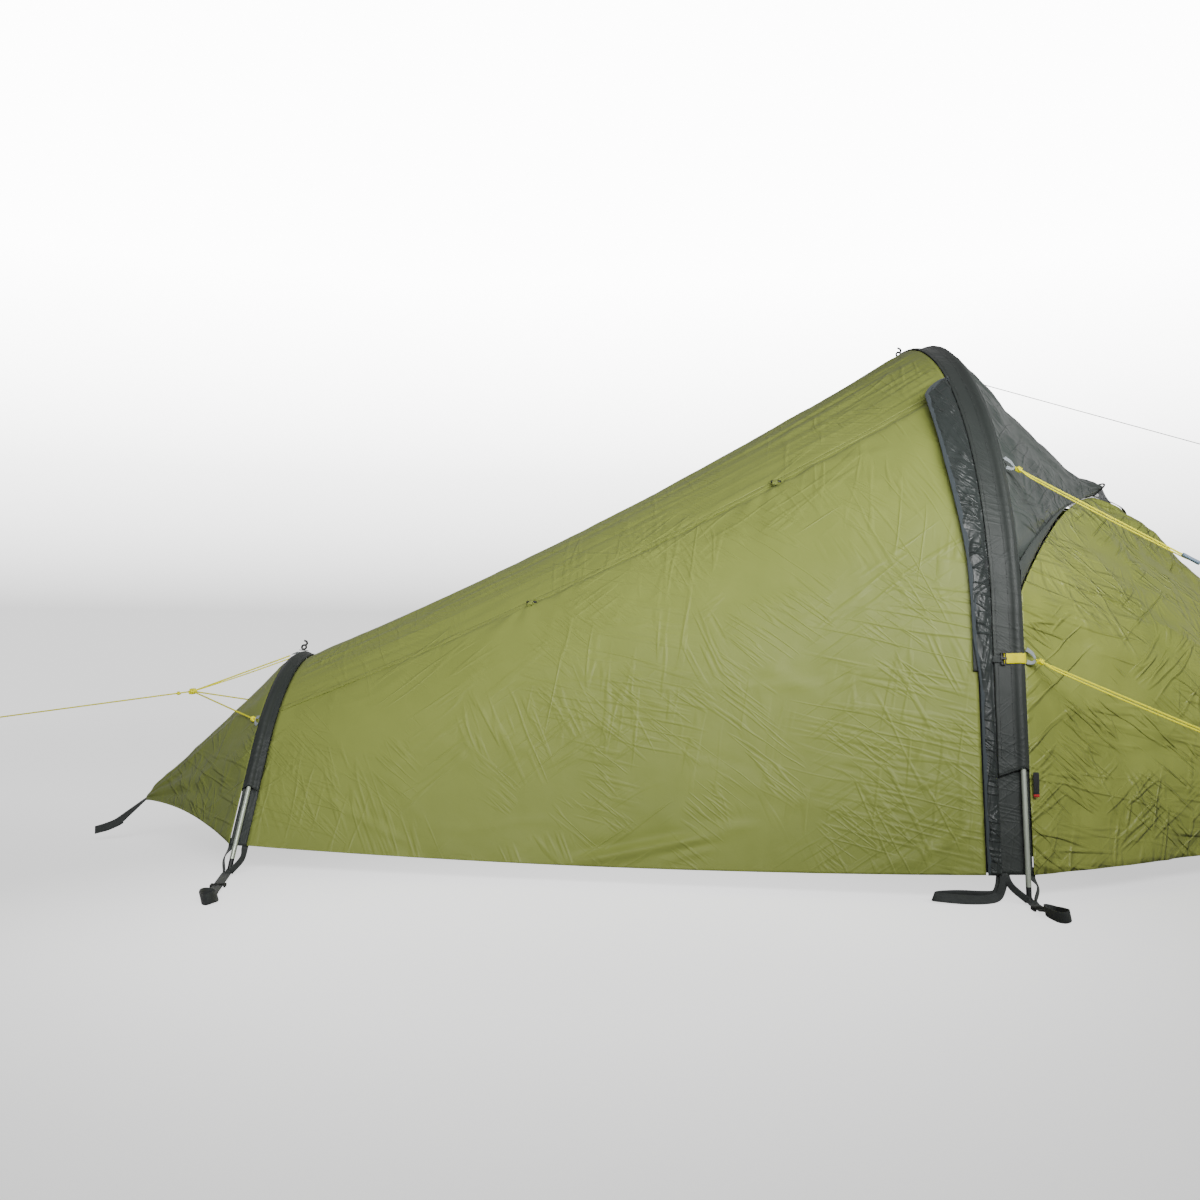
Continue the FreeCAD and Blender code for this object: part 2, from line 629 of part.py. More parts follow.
TOGGLE_AT = (0.245, 0.605)
for t in TOGGLE_AT:
    p = blend(front_back(seam_f, NEAR, FLY_RADIAL + 2.2), rear_front(seam_r, NEAR, FLY_RADIAL + 2.2), t)
    out = unit(V(0, p.y, p.z * 0.9))
    down = unit(V(0, -0.62, -0.78))
    add("door_toggles", bar(p + out * 1.6, p + out * 1.6 + down * 24.0, 11.0, WEB_T, V(1, 0, 0)))
    add("door_toggles", rod(p + out * 6.0 + V(-11.0, 0, 0), p + out * 6.0 + V(11.0, 0, 0), 5.0))

for hoop, span in ((front, FRONT_SLEEVE), (rear, REAR_SLEEVE)):
    top = hoop.at(0.0, NEAR, SLEEVE_RADIAL + 0.4, span[0] + 9.0)
    plate = Part.makeBox(16.0, 12.0, 1.6, V(top.x - 8.0, -6.0, top.z + 1.2))
    hook = Part.makeTorus(3.6, 1.3, V(top.x, 0, top.z + 7.2), V(0, 1, 0))
    add("apex_hooks", plate.fuse(hook).removeSplitter())

# ---- guy tapes and guy lines
TAPE_T = 1.2
TAPE_CLEAR = 4.0              # a tape starts this far outside the sleeve's edge


def tape(node, start, end, width):
    add(node, bar(start, end, width, TAPE_T, V(0, 0, 1)))


def knot(node, centre, size):
    add(node, Part.makeSphere(size / 2, centre))


def line(node, start, end, clear_start, clear_end, diameter=CORD):
    d = unit(end - start)
    a, b = start + d * clear_start, end - d * clear_end
    add(node, rod(a, b, diameter))
    print("%s length %.1f from %s to %s" % (node, (b - a).Length, tuple(round(c, 2) for c in a),
                                           tuple(round(c, 2) for c in b)))


KNOT = 9.0
KNOT_CLEAR = KNOT / 2 + 0.3
LINE_END_Y = 930.0
TENSIONER = (30.0, 12.0, 7.0)
tension_axes = {}
TENSIONER_RUN = 306.0         # from a front line's knot to its tensioner


def tensioner(node, start, end, distance):
    d = unit(end - start)
    p = start + d * distance
    block = Part.makeBox(TENSIONER[0], TENSIONER[1], TENSIONER[2],
                         V(-TENSIONER[0] / 2, -TENSIONER[1] / 2, -TENSIONER[2] / 2))
    bore_start = V(-TENSIONER[0] / 2 - 1, 0, 0)
    block = block.cut(Part.makeCylinder(CORD / 2 + 0.6, TENSIONER[0] + 2, bore_start, V(1, 0, 0)))
    shape = in_frame(block, p, d, V(0, 0, 1))
    add(node, shape)
    tension_axes[node] = (d, p)


for side, tag in ((NEAR, "near"), (FAR, "far")):
    for z, reach, knot_out, level in ((722.0, V(1380.0, side * LINE_END_Y, 2.0), 26.0, "upper"),
                                      (392.0, V(1077.0, side * LINE_END_Y, 2.0), 24.0, "lower")):
        base = front.at(front.run_at(z), side, FLY_RADIAL + 1.4, FRONT_OF_FRONT + 1.5)
        d = unit(reach - base)
        base = base + V(0, side * 2.0, 0)
        k = base + d * knot_out
        tape("guy_tapes", base + d * TAPE_CLEAR, k - d * 5.2, 13.0)
        knot("guy_knots", k, KNOT)
        line("guy_front_%s_%s" % (level, tag), k, reach, KNOT_CLEAR, 0.0)
        tensioner("tensioner_front_%s_%s" % (level, tag), k, reach, TENSIONER_RUN)

# rear lines: four legs meet at one knot behind the tail, one line runs on from it
rear_knot = V(-1294.0, 0.0, 319.0)
rear_end = V(-1763.0, 0.0, 256.0)
for side, tag in ((NEAR, "near"), (FAR, "far")):
    base = rear.at(rear.run_at(268.0), side, FLY_RADIAL + 2.8, BACK_OF_REAR - 1.0)
    d = unit(rear_knot - base)
    k = base + d * 22.0
    tape("guy_tapes", base + d * 1.0, k - d * 5.2, 13.0)
    knot("guy_knots", k, KNOT)
    line("guy_rear_" + tag, k, rear_knot, KNOT_CLEAR, KNOT_CLEAR + 1.6)
top_base = rear.at(0.0, NEAR, 2.0, BACK_OF_REAR - 1.0)
d = unit(rear_knot - top_base)
add("guy_tapes", bar(top_base, top_base + d * 18.0, 13.0, TAPE_T, V(0, 1, 0)))
line("guy_rear_top", top_base + d * 18.6, rear_knot, 0.3, KNOT_CLEAR + 1.6)
knot("guy_knots", rear_knot, KNOT + 2.0)
line("guy_rear_main", rear_knot, rear_end, KNOT_CLEAR + 1.2, 0.0)
tensioner("tensioner_rear", rear_knot, rear_end, 440.0)

# thin line from the front apex forward
apex_base = V(297.0, 0.0, 1012.0)   # a small loop on the hood's crown, just before the sleeve
apex_end = V(937.0, 0.0, 834.0)
line("guy_apex", apex_base, apex_end, 0.0, 0.0, APEX_CORD)

# ---- inner tent: floor tub, walls, roof, door and hangers
TUB_H = 80.0
FLOOR_T = 1.0
INNER_T = 0.8
plan = [(-1130.0, -45.0), (-1075.0, -75.0), (245.0, -215.0), (850.0, -150.0),
        (850.0, 250.0), (245.0, 575.0), (-1080.0, 300.0), (-1130.0, 150.0)]
outline = [V(x, y, 0) for x, y in plan]
floor = Part.Face(Part.makePolygon(outline + outline[:1])).extrude(V(0, 0, FLOOR_T))
add("inner_floor_tub", floor)
for i in range(len(plan)):
    a, b = outline[i], outline[(i + 1) % len(plan)]
    up = V(0, 0, TUB_H)
    mid = (a + b) * 0.5
    lift = V(0, 0, FLOOR_T + SEAM)
    add("inner_floor_tub", strip([a + lift, b + lift], [a + up, b + up], outward=V(mid.x * 0.2, mid.y, 0),
                                 gap=0.0, trim=1.6))

low = [V(x, y, TUB_H + 1.0) for x, y in plan]
ridge_rear = V(-1062.0, 0.0, 335.0)
ridge_front = V(245.0, 0.0, 978.0)
ridge_end = V(800.0, 10.0, 480.0)
ridge_tail = V(-1116.0, 0.0, 190.0)
shoulder_rear = {NEAR: V(-1068.0, -112.0, 255.0), FAR: V(-1068.0, 185.0, 255.0)}
shoulder_front = {NEAR: V(245.0, -205.0, 905.0), FAR: V(245.0, 390.0, 770.0)}
shoulder_end = {NEAR: V(815.0, -110.0, 330.0), FAR: V(815.0, 125.0, 330.0)}


def wall(node, a0, a1, b1, b0, outward):
    add(node, strip([a0, a1], [b0, b1], thickness=INNER_T, outward=outward, gap=1.2, trim=1.6))


wall("inner_wall_far", low[6], low[5], shoulder_front[FAR], shoulder_rear[FAR], V(0, 1, 0))
wall("inner_wall_far", low[5], low[4], shoulder_end[FAR], shoulder_front[FAR], V(0, 1, 0))
wall("inner_roof", shoulder_rear[FAR], shoulder_front[FAR], ridge_front, ridge_rear, V(0, 1, 1))
wall("inner_roof", shoulder_front[FAR], shoulder_end[FAR], ridge_end, ridge_front, V(0, 1, 1))
wall("inner_roof", shoulder_rear[NEAR], shoulder_front[NEAR], ridge_front, ridge_rear, V(0, -1, 1))
wall("inner_roof", shoulder_front[NEAR], shoulder_end[NEAR], ridge_end, ridge_front, V(0, -1, 1))
wall("inner_end_walls", low[3], low[4], shoulder_end[FAR], shoulder_end[NEAR], V(1, 0, 0))
wall("inner_end_walls", shoulder_end[NEAR] + V(2, 0, 2), shoulder_end[FAR] + V(2, 0, 2),
     ridge_end + V(3, 12, 0), ridge_end + V(3, -12, 0), V(1, 0, 1))
for side, i, j in ((NEAR, 0, 1), (FAR, 7, 6)):
    tail_corner = ridge_tail + V(0, side * 16.0, 0)
    wall("inner_end_walls", low[i], low[j], shoulder_rear[side], tail_corner, V(-1, side, 0))
    wall("inner_end_walls", ridge_tail + V(0, side * 16.0, 2.0), shoulder_rear[side] + V(-2, 0, 3.0),
         ridge_rear + V(-3.0, side * 4.0, 0), ridge_tail + V(2, side * 2.0, 4.0), V(-1, 0, 1))
TAIL_WALL_EDGE = 1.6          # clear of the tub and of the neighbouring walls
tail_wall = [low[0] + V(0, TAIL_WALL_EDGE, TAIL_WALL_EDGE), low[7] + V(0, -TAIL_WALL_EDGE, TAIL_WALL_EDGE),
             ridge_tail + V(-1, 12.0, -TAIL_WALL_EDGE), ridge_tail + V(-1, -12.0, -TAIL_WALL_EDGE)]
add("inner_end_walls", Part.Face(Part.makePolygon(tail_wall + tail_wall[:1])).extrude(V(INNER_T, 0, 0)))

# near wall with the door in it: the door spans from DOOR_BACK to DOOR_FRONT along the wall
DOOR_BACK = 0.36
DOOR_FRONT = 0.94
DOOR_LOW = 0.05
DOOR_HIGH = 0.84


def near_wall(t, s):
    """Point on the near wall: t along it from the rear, s up it from the tub."""
    return blend(blend(low[1], low[2], t), blend(shoulder_rear[NEAR], shoulder_front[NEAR], t), s)


OUT_NEAR = V(0, -1, 0)
for t0, t1, s0, s1 in ((0, DOOR_BACK, 0, 1), (DOOR_FRONT, 1, 0, 1), (DOOR_BACK, DOOR_FRONT, 0, DOOR_LOW),
                       (DOOR_BACK, DOOR_FRONT, DOOR_HIGH, 1)):
    wall("inner_wall_near", near_wall(t0, s0), near_wall(t1, s0), near_wall(t1, s1), near_wall(t0, s1),
         OUT_NEAR)
wall("inner_wall_near", low[2], low[3], shoulder_end[NEAR], shoulder_front[NEAR], OUT_NEAR)
INSET = 0.004
door_t = (DOOR_BACK + INSET, DOOR_FRONT - INSET)
door_s = (DOOR_LOW + INSET, DOOR_HIGH - INSET)
wall("inner_door", near_wall(door_t[0], door_s[0]), near_wall(door_t[1], door_s[0]),
     near_wall(door_t[1], door_s[1]), near_wall(door_t[0], door_s[1]), OUT_NEAR)

# hangers: short cords joining the inner tent's ridge to the fly straight above it
HANGER_FOOT = 3.0             # clear of the inner tent's ridge
HANGER_HEAD = 5.0             # clear of the roof's inner face
roof_front = front_back(0, NEAR)
roof_rear = rear_front(0, NEAR)
for t in (0.03, 0.35, 0.68, 0.97):
    foot_point = blend(ridge_front, ridge_rear, t)
    along_roof = (roof_front.x - foot_point.x) / (roof_front.x - roof_rear.x)
    sag = ROOF_SAG * 4 * along_roof * (1 - along_roof)
    roof_z = blend(roof_front, roof_rear, along_roof).z - sag
    rise = roof_z - foot_point.z - HANGER_FOOT - HANGER_HEAD
    add("inner_hangers", Part.makeCylinder(1.5, rise, V(foot_point.x, 0, foot_point.z + HANGER_FOOT)))

# ---- write one STEP file per node
os.makedirs("parts", exist_ok=True)
total = 0
bounds = FreeCAD.BoundBox()
for node, solids in parts.items():
    shape = solids[0] if len(solids) == 1 else Part.makeCompound(solids)
    shape.exportStep("parts/%s.step" % node)
    total += len(solids)
    bounds.add(shape.BoundBox)
    bad = [s for s in solids if not s.isValid() or s.Volume <= 0]
    if bad:
        print("CHECK", node, len(bad), "of", len(solids))
print("nodes", len(parts), "solids", total)
print("bounds", bounds)
hinge_low = diag_low + out_normal * 14.0
hinge_top = diag_top + out_normal * 14.0
print("door hinge", hinge_low, hinge_top, diag)
for name, (p, d, length) in locks.items():
    print("lock", name, p, d, length)
for name, (d, p) in tension_axes.items():
    print("tensioner", name, d, p)
print("front hoop", front.radius, front.centre_z, front.tangent, "leg lean", front.lean)
print("slider low", front.at(slider_low_run, NEAR), "up to", front.at(front.arc, NEAR))
print("slider top", slider_top_run, front.arc)
print("inner door hinge", near_wall(DOOR_BACK, DOOR_LOW), near_wall(DOOR_FRONT, DOOR_LOW))
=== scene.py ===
import math

import bmesh
import bpy
import numpy as np
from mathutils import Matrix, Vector, noise


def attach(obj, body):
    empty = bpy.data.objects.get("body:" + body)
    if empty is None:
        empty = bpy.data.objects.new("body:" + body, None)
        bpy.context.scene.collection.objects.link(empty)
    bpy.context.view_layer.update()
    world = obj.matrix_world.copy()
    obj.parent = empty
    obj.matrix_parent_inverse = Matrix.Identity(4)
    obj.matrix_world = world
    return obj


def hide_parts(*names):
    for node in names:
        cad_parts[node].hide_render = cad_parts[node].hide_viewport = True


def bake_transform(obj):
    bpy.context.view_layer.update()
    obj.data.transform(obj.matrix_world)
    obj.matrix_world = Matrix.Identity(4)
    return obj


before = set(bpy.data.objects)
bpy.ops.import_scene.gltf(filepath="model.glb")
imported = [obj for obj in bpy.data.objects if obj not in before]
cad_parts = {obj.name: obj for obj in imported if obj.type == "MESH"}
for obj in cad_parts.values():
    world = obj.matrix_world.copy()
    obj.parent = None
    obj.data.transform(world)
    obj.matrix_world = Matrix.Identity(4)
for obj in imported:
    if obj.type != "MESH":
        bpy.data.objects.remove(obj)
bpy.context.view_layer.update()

NEAR, FAR = -1, 1
TENT = "tent"


def vec(*p):
    return np.array(p, float)


def unit(v):
    v = np.asarray(v, float)
    return v / max(np.linalg.norm(v), 1e-12)


def lerp(a, b, t):
    """From a to b, t 0..1; works on numbers and on points."""
    return a + (b - a) * t


def smooth(t):
    """Soft step: 0 up to t 0, 1 from t 1."""
    t = min(max(t, 0.0), 1.0)
    return t * t * (3 - 2 * t)


# ---------------------------------------------------------------- camera
cam_data = bpy.data.cameras.new("camera")
cam = bpy.data.objects.new("camera", cam_data)
bpy.context.scene.collection.objects.link(cam)
CAMERA_AT, CAMERA_UP_DEG, FOCAL_MM = (-0.423, -2.590, 0.3818), 2.93, 36.25
cam.location = CAMERA_AT
cam.rotation_euler = (math.radians(90 + CAMERA_UP_DEG), 0, 0)
cam_data.sensor_width = 36.0
cam_data.lens = FOCAL_MM
cam_data.clip_start = 0.05
cam_data.clip_end = 60
bpy.context.scene.camera = cam


# ---------------------------------------------------------------- hoops, as in the CAD
class Hoop:
    """A round arch on straight legs; lean spreads the legs and tilt leans the arch forward, in degrees."""

    def __init__(self, x, half_width, height, lean, tilt):
        self.x, self.tilt, self.lean = x, math.radians(tilt), math.radians(lean)
        s, c, ta = math.cos(self.lean), math.sin(self.lean), math.tan(self.lean)
        self.radius = (half_width - height * ta) / (s - (1 - c) * ta)
        self.centre_z = height - self.radius
        self.arc = self.radius * (math.pi / 2 - self.lean)
        self.tangent = (self.radius * s, self.centre_z + self.radius * c)
        self.half = self.arc + self.tangent[1] / math.cos(self.lean)

    def at(self, run, side, offset=0.0, dx=0.0):
        """Point at a run from the top along one side, moved outward by offset and forward by dx."""
        if run < 0:
            run, side = -run, -side
        if run <= self.arc:
            a = math.pi / 2 - run / self.radius
            n = (math.cos(a), math.sin(a))
            y, z = self.radius * n[0], self.centre_z + self.radius * n[1]
        else:
            n = (math.cos(self.lean), math.sin(self.lean))
            d = run - self.arc
            y, z = self.tangent[0] + d * math.sin(self.lean), self.tangent[1] - d * math.cos(self.lean)
        y, z = y + offset * n[0], z + offset * n[1]
        s, c = math.sin(self.tilt), math.cos(self.tilt)
        return vec(self.x + z * s + dx * c, side * y, z * c - dx * s)

    def out(self, run, side):
        """Away from the hoop's centre, in its plane."""
        return self.at(run, side, 1.0, 0) - self.at(run, side, 0.0, 0)

    def down(self, run, side):
        return unit(self.at(run + 0.01, side) - self.at(run, side))

    def run_at(self, z):
        if z < self.tangent[1]:
            return self.arc + (self.tangent[1] - z) / math.cos(self.lean)
        return self.radius * (math.pi / 2 - math.asin((z - self.centre_z) / self.radius))


front = Hoop(0.255, 0.660, 1.038, 4.5, 0.0)
rear = Hoop(-1.090, 0.400, 0.400, 27.0, 5.0)


# ---------------------------------------------------------------- materials
def plug(nt, n, inputs):
    """Link sockets and set plain values on a node's inputs."""
    for key, value in inputs:
        if isinstance(value, bpy.types.NodeSocket):
            nt.links.new(value, n.inputs[key])
        else:
            n.inputs[key].default_value = value
    return n


def node(nt, kind, inputs=(), **settings):
    n = nt.nodes.new(kind)
    for key, value in settings.items():
        setattr(n, key, value)
    return plug(nt, n, inputs)


def material(name):
    m = bpy.data.materials.new(name)
    m.use_nodes = True
    return m, m.node_tree, m.node_tree.nodes["Principled BSDF"]


def srgb(r, g, b):
    def lin(c):
        c /= 255.0
        return c / 12.92 if c <= 0.04045 else ((c + 0.055) / 1.055) ** 2.4
    return (lin(r), lin(g), lin(b), 1.0)


def math_node(nt, op, a, b=0.0):
    return node(nt, "ShaderNodeMath", [(0, a), (1, b)], operation=op).outputs[0]


def scaled(nt, value, gain, offset):
    return math_node(nt, "ADD", offset, math_node(nt, "MULTIPLY", value, gain))


def coords(nt, scale=(1, 1, 1)):
    tc = node(nt, "ShaderNodeTexCoord")
    return node(nt, "ShaderNodeMapping", [("Vector", tc.outputs["Object"]), ("Scale", scale)]).outputs[0]


def cloud(nt, scale, detail, vector=None, roughness=0.5):
    """Soft noise about 0.5."""
    return node(nt, "ShaderNodeTexNoise", [("Vector", vector or coords(nt)), ("Scale", scale),
                                           ("Detail", detail), ("Roughness", roughness)]).outputs["Fac"]


def wave(nt, vector, scale, distortion, direction, detail=2.0):
    return node(nt, "ShaderNodeTexWave", [("Vector", vector), ("Scale", scale), ("Distortion", distortion),
                                          ("Detail", detail)], bands_direction=direction).outputs["Fac"]


def map_range(nt, value, low, high, to_low=0.0, to_high=1.0, kind="SMOOTHSTEP"):
    return node(nt, "ShaderNodeMapRange", [("Value", value), ("From Min", low), ("From Max", high),
                                           ("To Min", to_low), ("To Max", to_high)],
                interpolation_type=kind).outputs[0]


def colour_mix(nt, factor, a, b):
    mix = node(nt, "ShaderNodeMix", [("Factor", factor), ("A", a), ("B", b)], data_type="RGBA")
    return mix.outputs["Result"]


def toned(nt, colour, value):
    return node(nt, "ShaderNodeHueSaturation", [("Color", colour), ("Value", value)]).outputs[0]


def bump(nt, strength, distance, height, *under):
    """Bump over the one under it, if that is given."""
    return node(nt, "ShaderNodeBump", [("Strength", strength), ("Distance", distance), ("Height", height)]
                + [("Normal", normal) for normal in under]).outputs[0]


# angle, then a line's length and spacing in shares of a metre, then patches per metre
CREASE_FAMILIES = ((12, 2.4, 30.0, 4.0), (66, 2.8, 27.0, 5.0), (-36, 3.2, 34.0, 6.0), (100, 3.0, 24.0, 4.5),
                   (38, 5.0, 52.0, 8.0))
CREASE_WIDTH = 0.055
CREASE_CELL = 19.0           # the cell count at which the spacings above hold


def crease_lines(nt, angle, run, spacing, gate, seed):
    """Thin raised lines that run one way, in patches: 1 on a line, 0 between lines."""
    tc = node(nt, "ShaderNodeTexCoord")
    turned = node(nt, "ShaderNodeMapping", [("Vector", tc.outputs["Object"]), ("Location", (seed, 0, seed)),
                                            ("Rotation", (0, math.radians(angle), 0)),
                                            ("Scale", (1 / run, 1 / run, 1 / spacing))],
                                            vector_type="TEXTURE")
    off = math_node(nt, "ABSOLUTE", math_node(nt, "SUBTRACT", cloud(nt, 1.0, 2.0, turned.outputs[0]), 0.5))
    line = map_range(nt, off, 0.0, CREASE_WIDTH, 1.0, 0.0)
    shown = map_range(nt, cloud(nt, gate, 1.0), 0.46 + 0.02 * (seed % 2), 0.60, kind="LINEAR")
    return math_node(nt, "MULTIPLY", line, shown)


WEAVE_COUNT, WEAVE_BUMP = 1100.0, 0.12


def cloth_material(name, base, shade, rough=0.45, crinkle=0.35, cell=26.0, stretch=(1, 1, 1), sheen=0.15,
                   spec=0.45, fleck_and_crease_shade=0.06):
    """Woven nylon: fine weave, soft colour drift, and a crumpled crease pattern in the bump, with painted shade
    in its hollows and painted highlight on its crests in the colour.
    """
    m, nt, bsdf = material(name)
    folds = cloud(nt, cell * 0.55, 6.0, coords(nt, stretch), 0.62)
    crumple = math_node(nt, "MULTIPLY", folds, 0.9)
    for k, (angle, run, spacing, gate) in enumerate(CREASE_FAMILIES):
        line = crease_lines(nt, angle, run, spacing * cell / CREASE_CELL, gate, 3.7 * k)
        crumple = math_node(nt, "ADD", crumple, line)
    threads = coords(nt, (WEAVE_COUNT,) * 3)
    both = math_node(nt, "ADD", wave(nt, threads, 0.5, 0.6, "X"), wave(nt, threads, 0.5, 0.6, "Z"))
    creased = bump(nt, crinkle, 0.0030, crumple)
    drift = map_range(nt, cloud(nt, 3.1, 5.0, roughness=0.6), 0.32, 0.68, kind="LINEAR")
    # painted shade and highlight: the colour is darker where the crumple noise under the bump is low and lighter
    # where it is high
    edge = math_node(nt, "MULTIPLY", math_node(nt, "SUBTRACT", folds, 0.5), fleck_and_crease_shade * 6)
    plug(nt, bsdf, [
        ("Base Color", toned(nt, colour_mix(nt, drift, base, shade), math_node(nt, "ADD", 1.0, edge))),
        ("Normal", bump(nt, WEAVE_BUMP, 0.0003, math_node(nt, "MULTIPLY", both, 0.5), creased)),
        ("Roughness", scaled(nt, folds, 0.12, rough - 0.06)),
        ("Specular IOR Level", spec), ("Sheen Weight", sheen), ("Sheen Roughness", 0.5)])
    return m


def webbing_material(name, base, edge, count=900.0, sheen=0.2, glow=0.0):
    m, nt, bsdf = material(name)
    threads = coords(nt, (count,) * 3)
    height = math_node(nt, "MULTIPLY", wave(nt, threads, 0.45, 1.5, "DIAGONAL"),
                       wave(nt, threads, 0.6, 1.0, "X"))
    factor = math_node(nt, "ADD", math_node(nt, "MULTIPLY", height, 0.6),
                       math_node(nt, "MULTIPLY", cloud(nt, 120.0, 4.0), 0.5))
    plug(nt, bsdf, [("Base Color", colour_mix(nt, factor, base, edge)),
                    ("Normal", bump(nt, 0.5, 0.0004, height)),
                    ("Roughness", 0.72), ("Sheen Weight", sheen), ("Emission Color", base),
                    ("Emission Strength", glow)])
    return m


def plastic_material(name, base, rough=0.45):
    m, nt, bsdf = material(name)
    grain = cloud(nt, 320.0, 4.0)
    plug(nt, bsdf, [("Base Color", toned(nt, base, scaled(nt, cloud(nt, 40.0, 2.0), 0.3, 0.85))),
                    ("Roughness", scaled(nt, grain, 0.2, rough - 0.1)),
                    ("Normal", bump(nt, 0.12, 0.0002, grain))])
    return m


def metal_material(name, base, rough=0.28, metallic=1.0):
    m, nt, bsdf = material(name)
    brushed = cloud(nt, 1.0, 3.0, coords(nt, (900, 900, 30)))
    plug(nt, bsdf, [("Base Color", toned(nt, base, scaled(nt, cloud(nt, 14.0, 3.0), 0.2, 0.9))),
                    ("Roughness", scaled(nt, brushed, 0.14, rough - 0.06)),
                    ("Normal", bump(nt, 0.05, 0.0002, brushed)), ("Metallic", metallic)])
    return m


def braid_material(name, base, fleck_and_crease_shade, count=700.0, sheen=0.3, glow=0.0):
    m, nt, bsdf = material(name)
    strands = wave(nt, coords(nt, (count,) * 3), 0.55, 2.0, "DIAGONAL", 1.0)
    plug(nt, bsdf, [("Base Color", colour_mix(nt, math_node(nt, "MULTIPLY", strands, 0.6), base, fleck_and_crease_shade)),
                    ("Normal", bump(nt, 0.4, 0.0004, strands)), ("Roughness", 0.6), ("Sheen Weight", sheen),
                    ("Emission Color", base), ("Emission Strength", glow)])
    return m


def mesh_material(name, base, alpha=0.55, count=700.0):
    """Fine netting: dark threads with small clear holes."""
    m, nt, bsdf = material(name)
    threads = coords(nt, (count,) * 3)
    thread = math_node(nt, "MAXIMUM", wave(nt, threads, 0.5, 0.0, "X"), wave(nt, threads, 0.5, 0.0, "Z"))
    plug(nt, bsdf, [("Alpha", math_node(nt, "MINIMUM", scaled(nt, thread, 0.5, alpha - 0.25), 1.0)),
                    ("Base Color", toned(nt, base, scaled(nt, cloud(nt, 30.0, 4.0), 0.6, 0.7))),
                    ("Roughness", 0.7)])
    return m


GREEN = cloth_material("fly_green", srgb(149, 160, 81), srgb(141, 152, 76), rough=0.48, crinkle=0.36,
                       cell=19.0, sheen=0.02, spec=0.30, fleck_and_crease_shade=0.02)
GREEN_CRUMPLED = cloth_material("fly_green_porch", srgb(152, 161, 79), srgb(136, 146, 70), rough=0.40,
                                crinkle=1.0,
                                cell=15.0, sheen=0.02, spec=0.34, fleck_and_crease_shade=0.035, stretch=(0.7, 1, 1.2))
# the tail's cloth is the fly green painted darker, as shade on the tail that faces away from the key light
GREEN_TAIL_SHADED = cloth_material("fly_green_tail", srgb(138, 149, 78), srgb(126, 137, 70), rough=0.46,
                            crinkle=0.55, cell=17.0, sheen=0.02, spec=0.26, fleck_and_crease_shade=0.03)
SLEEVE = cloth_material("sleeve_grey", srgb(58, 63, 60), srgb(50, 55, 53), rough=0.56, crinkle=0.16,
                        cell=30.0, sheen=0.06, spec=0.40, fleck_and_crease_shade=0.03)
FLAP = cloth_material("flap_grey", srgb(56, 62, 60), srgb(47, 52, 51), rough=0.40, crinkle=0.65, cell=24.0,
                      stretch=(1.2, 1, 0.7), sheen=0.05, spec=0.5, fleck_and_crease_shade=0.05)
HOOD = cloth_material("hood_grey", srgb(80, 88, 83), srgb(62, 69, 66), rough=0.30, crinkle=0.85, cell=16.0,
                      stretch=(0.8, 0.8, 1.1), sheen=0.04, spec=0.5, fleck_and_crease_shade=0.06)
EDGE_BLUE = webbing_material("edge_binding", srgb(62, 71, 75), srgb(48, 55, 60))
HOOD_HEM = cloth_material("hood_hem", srgb(78, 84, 80), srgb(68, 74, 71), rough=0.5, crinkle=0.1, cell=30.0,
                          sheen=0.04)
WEB = webbing_material("webbing_dark", srgb(46, 50, 49), srgb(74, 79, 77))
# the yellow band glows a little in its own colour: painted glow
WEB_YELLOW = webbing_material("band_yellow", srgb(240, 232, 0), srgb(212, 202, 0), sheen=0.0, glow=0.18)
WEB_TAPE = webbing_material("tape_grey", srgb(176, 184, 188), srgb(140, 150, 156))
POLE = metal_material("pole_alloy", srgb(222, 232, 214), 0.34, 0.6)
BLACK = plastic_material("plastic_black", srgb(30, 32, 32), 0.42)
TIP = plastic_material("tip_dark", srgb(44, 46, 46), 0.5)
BLUE = plastic_material("plastic_blue", srgb(120, 142, 164), 0.4)
SLIDER = metal_material("slider_metal", srgb(70, 72, 74), 0.4)
ZIP = webbing_material("zip_black", srgb(34, 36, 37), srgb(54, 57, 58), 1400.0)
# the yellow cord glows a little in its own colour: painted glow
CORD_YELLOW = braid_material("cord_yellow", srgb(244, 240, 0), srgb(214, 208, 0), sheen=0.0, glow=0.22)
CORD_GREY = braid_material("cord_grey", srgb(110, 114, 114), srgb(80, 84, 84))
ELASTIC = braid_material("elastic", srgb(40, 40, 42), srgb(70, 70, 72), 1100.0)
NET = mesh_material("mesh_black", srgb(60, 64, 66), 0.75)
NET_DOOR = mesh_material("inner_mesh", srgb(50, 52, 54), 0.55, 420.0)
INNER = cloth_material("inner_cloth", srgb(206, 208, 200), srgb(196, 198, 190), rough=0.7, crinkle=0.2,
                       cell=14.0, sheen=0.3, spec=0.3)
FLOOR = cloth_material("floor_dark", srgb(74, 80, 82), srgb(64, 70, 72), rough=0.5, crinkle=0.25, cell=9.0,
                       spec=0.5)
LABEL = webbing_material("label_black", srgb(24, 25, 26), srgb(44, 46, 47), 1500.0)
LABEL_RED = webbing_material("label_red", srgb(196, 44, 34), srgb(160, 34, 28), 1500.0)


# ---------------------------------------------------------------- mesh builders
def dress(o, slot, *nodes):
    """Hide the CAD nodes that a piece stands for; the piece and its slot are not used."""
    if nodes:
        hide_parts(*nodes)


def new_object(name, verts, faces, mat, body=TENT, shade=True, parent=True):
    me = bpy.data.meshes.new(name)
    me.from_pydata([tuple(v) for v in verts], [], faces)
    me.validate()
    me.update()
    if shade:
        me.polygons.foreach_set("use_smooth", [True] * len(me.polygons))
    me.materials.append(mat)
    o = bpy.data.objects.new(name, me)
    bpy.context.scene.collection.objects.link(o)
    if parent:
        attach(o, body)
    return o


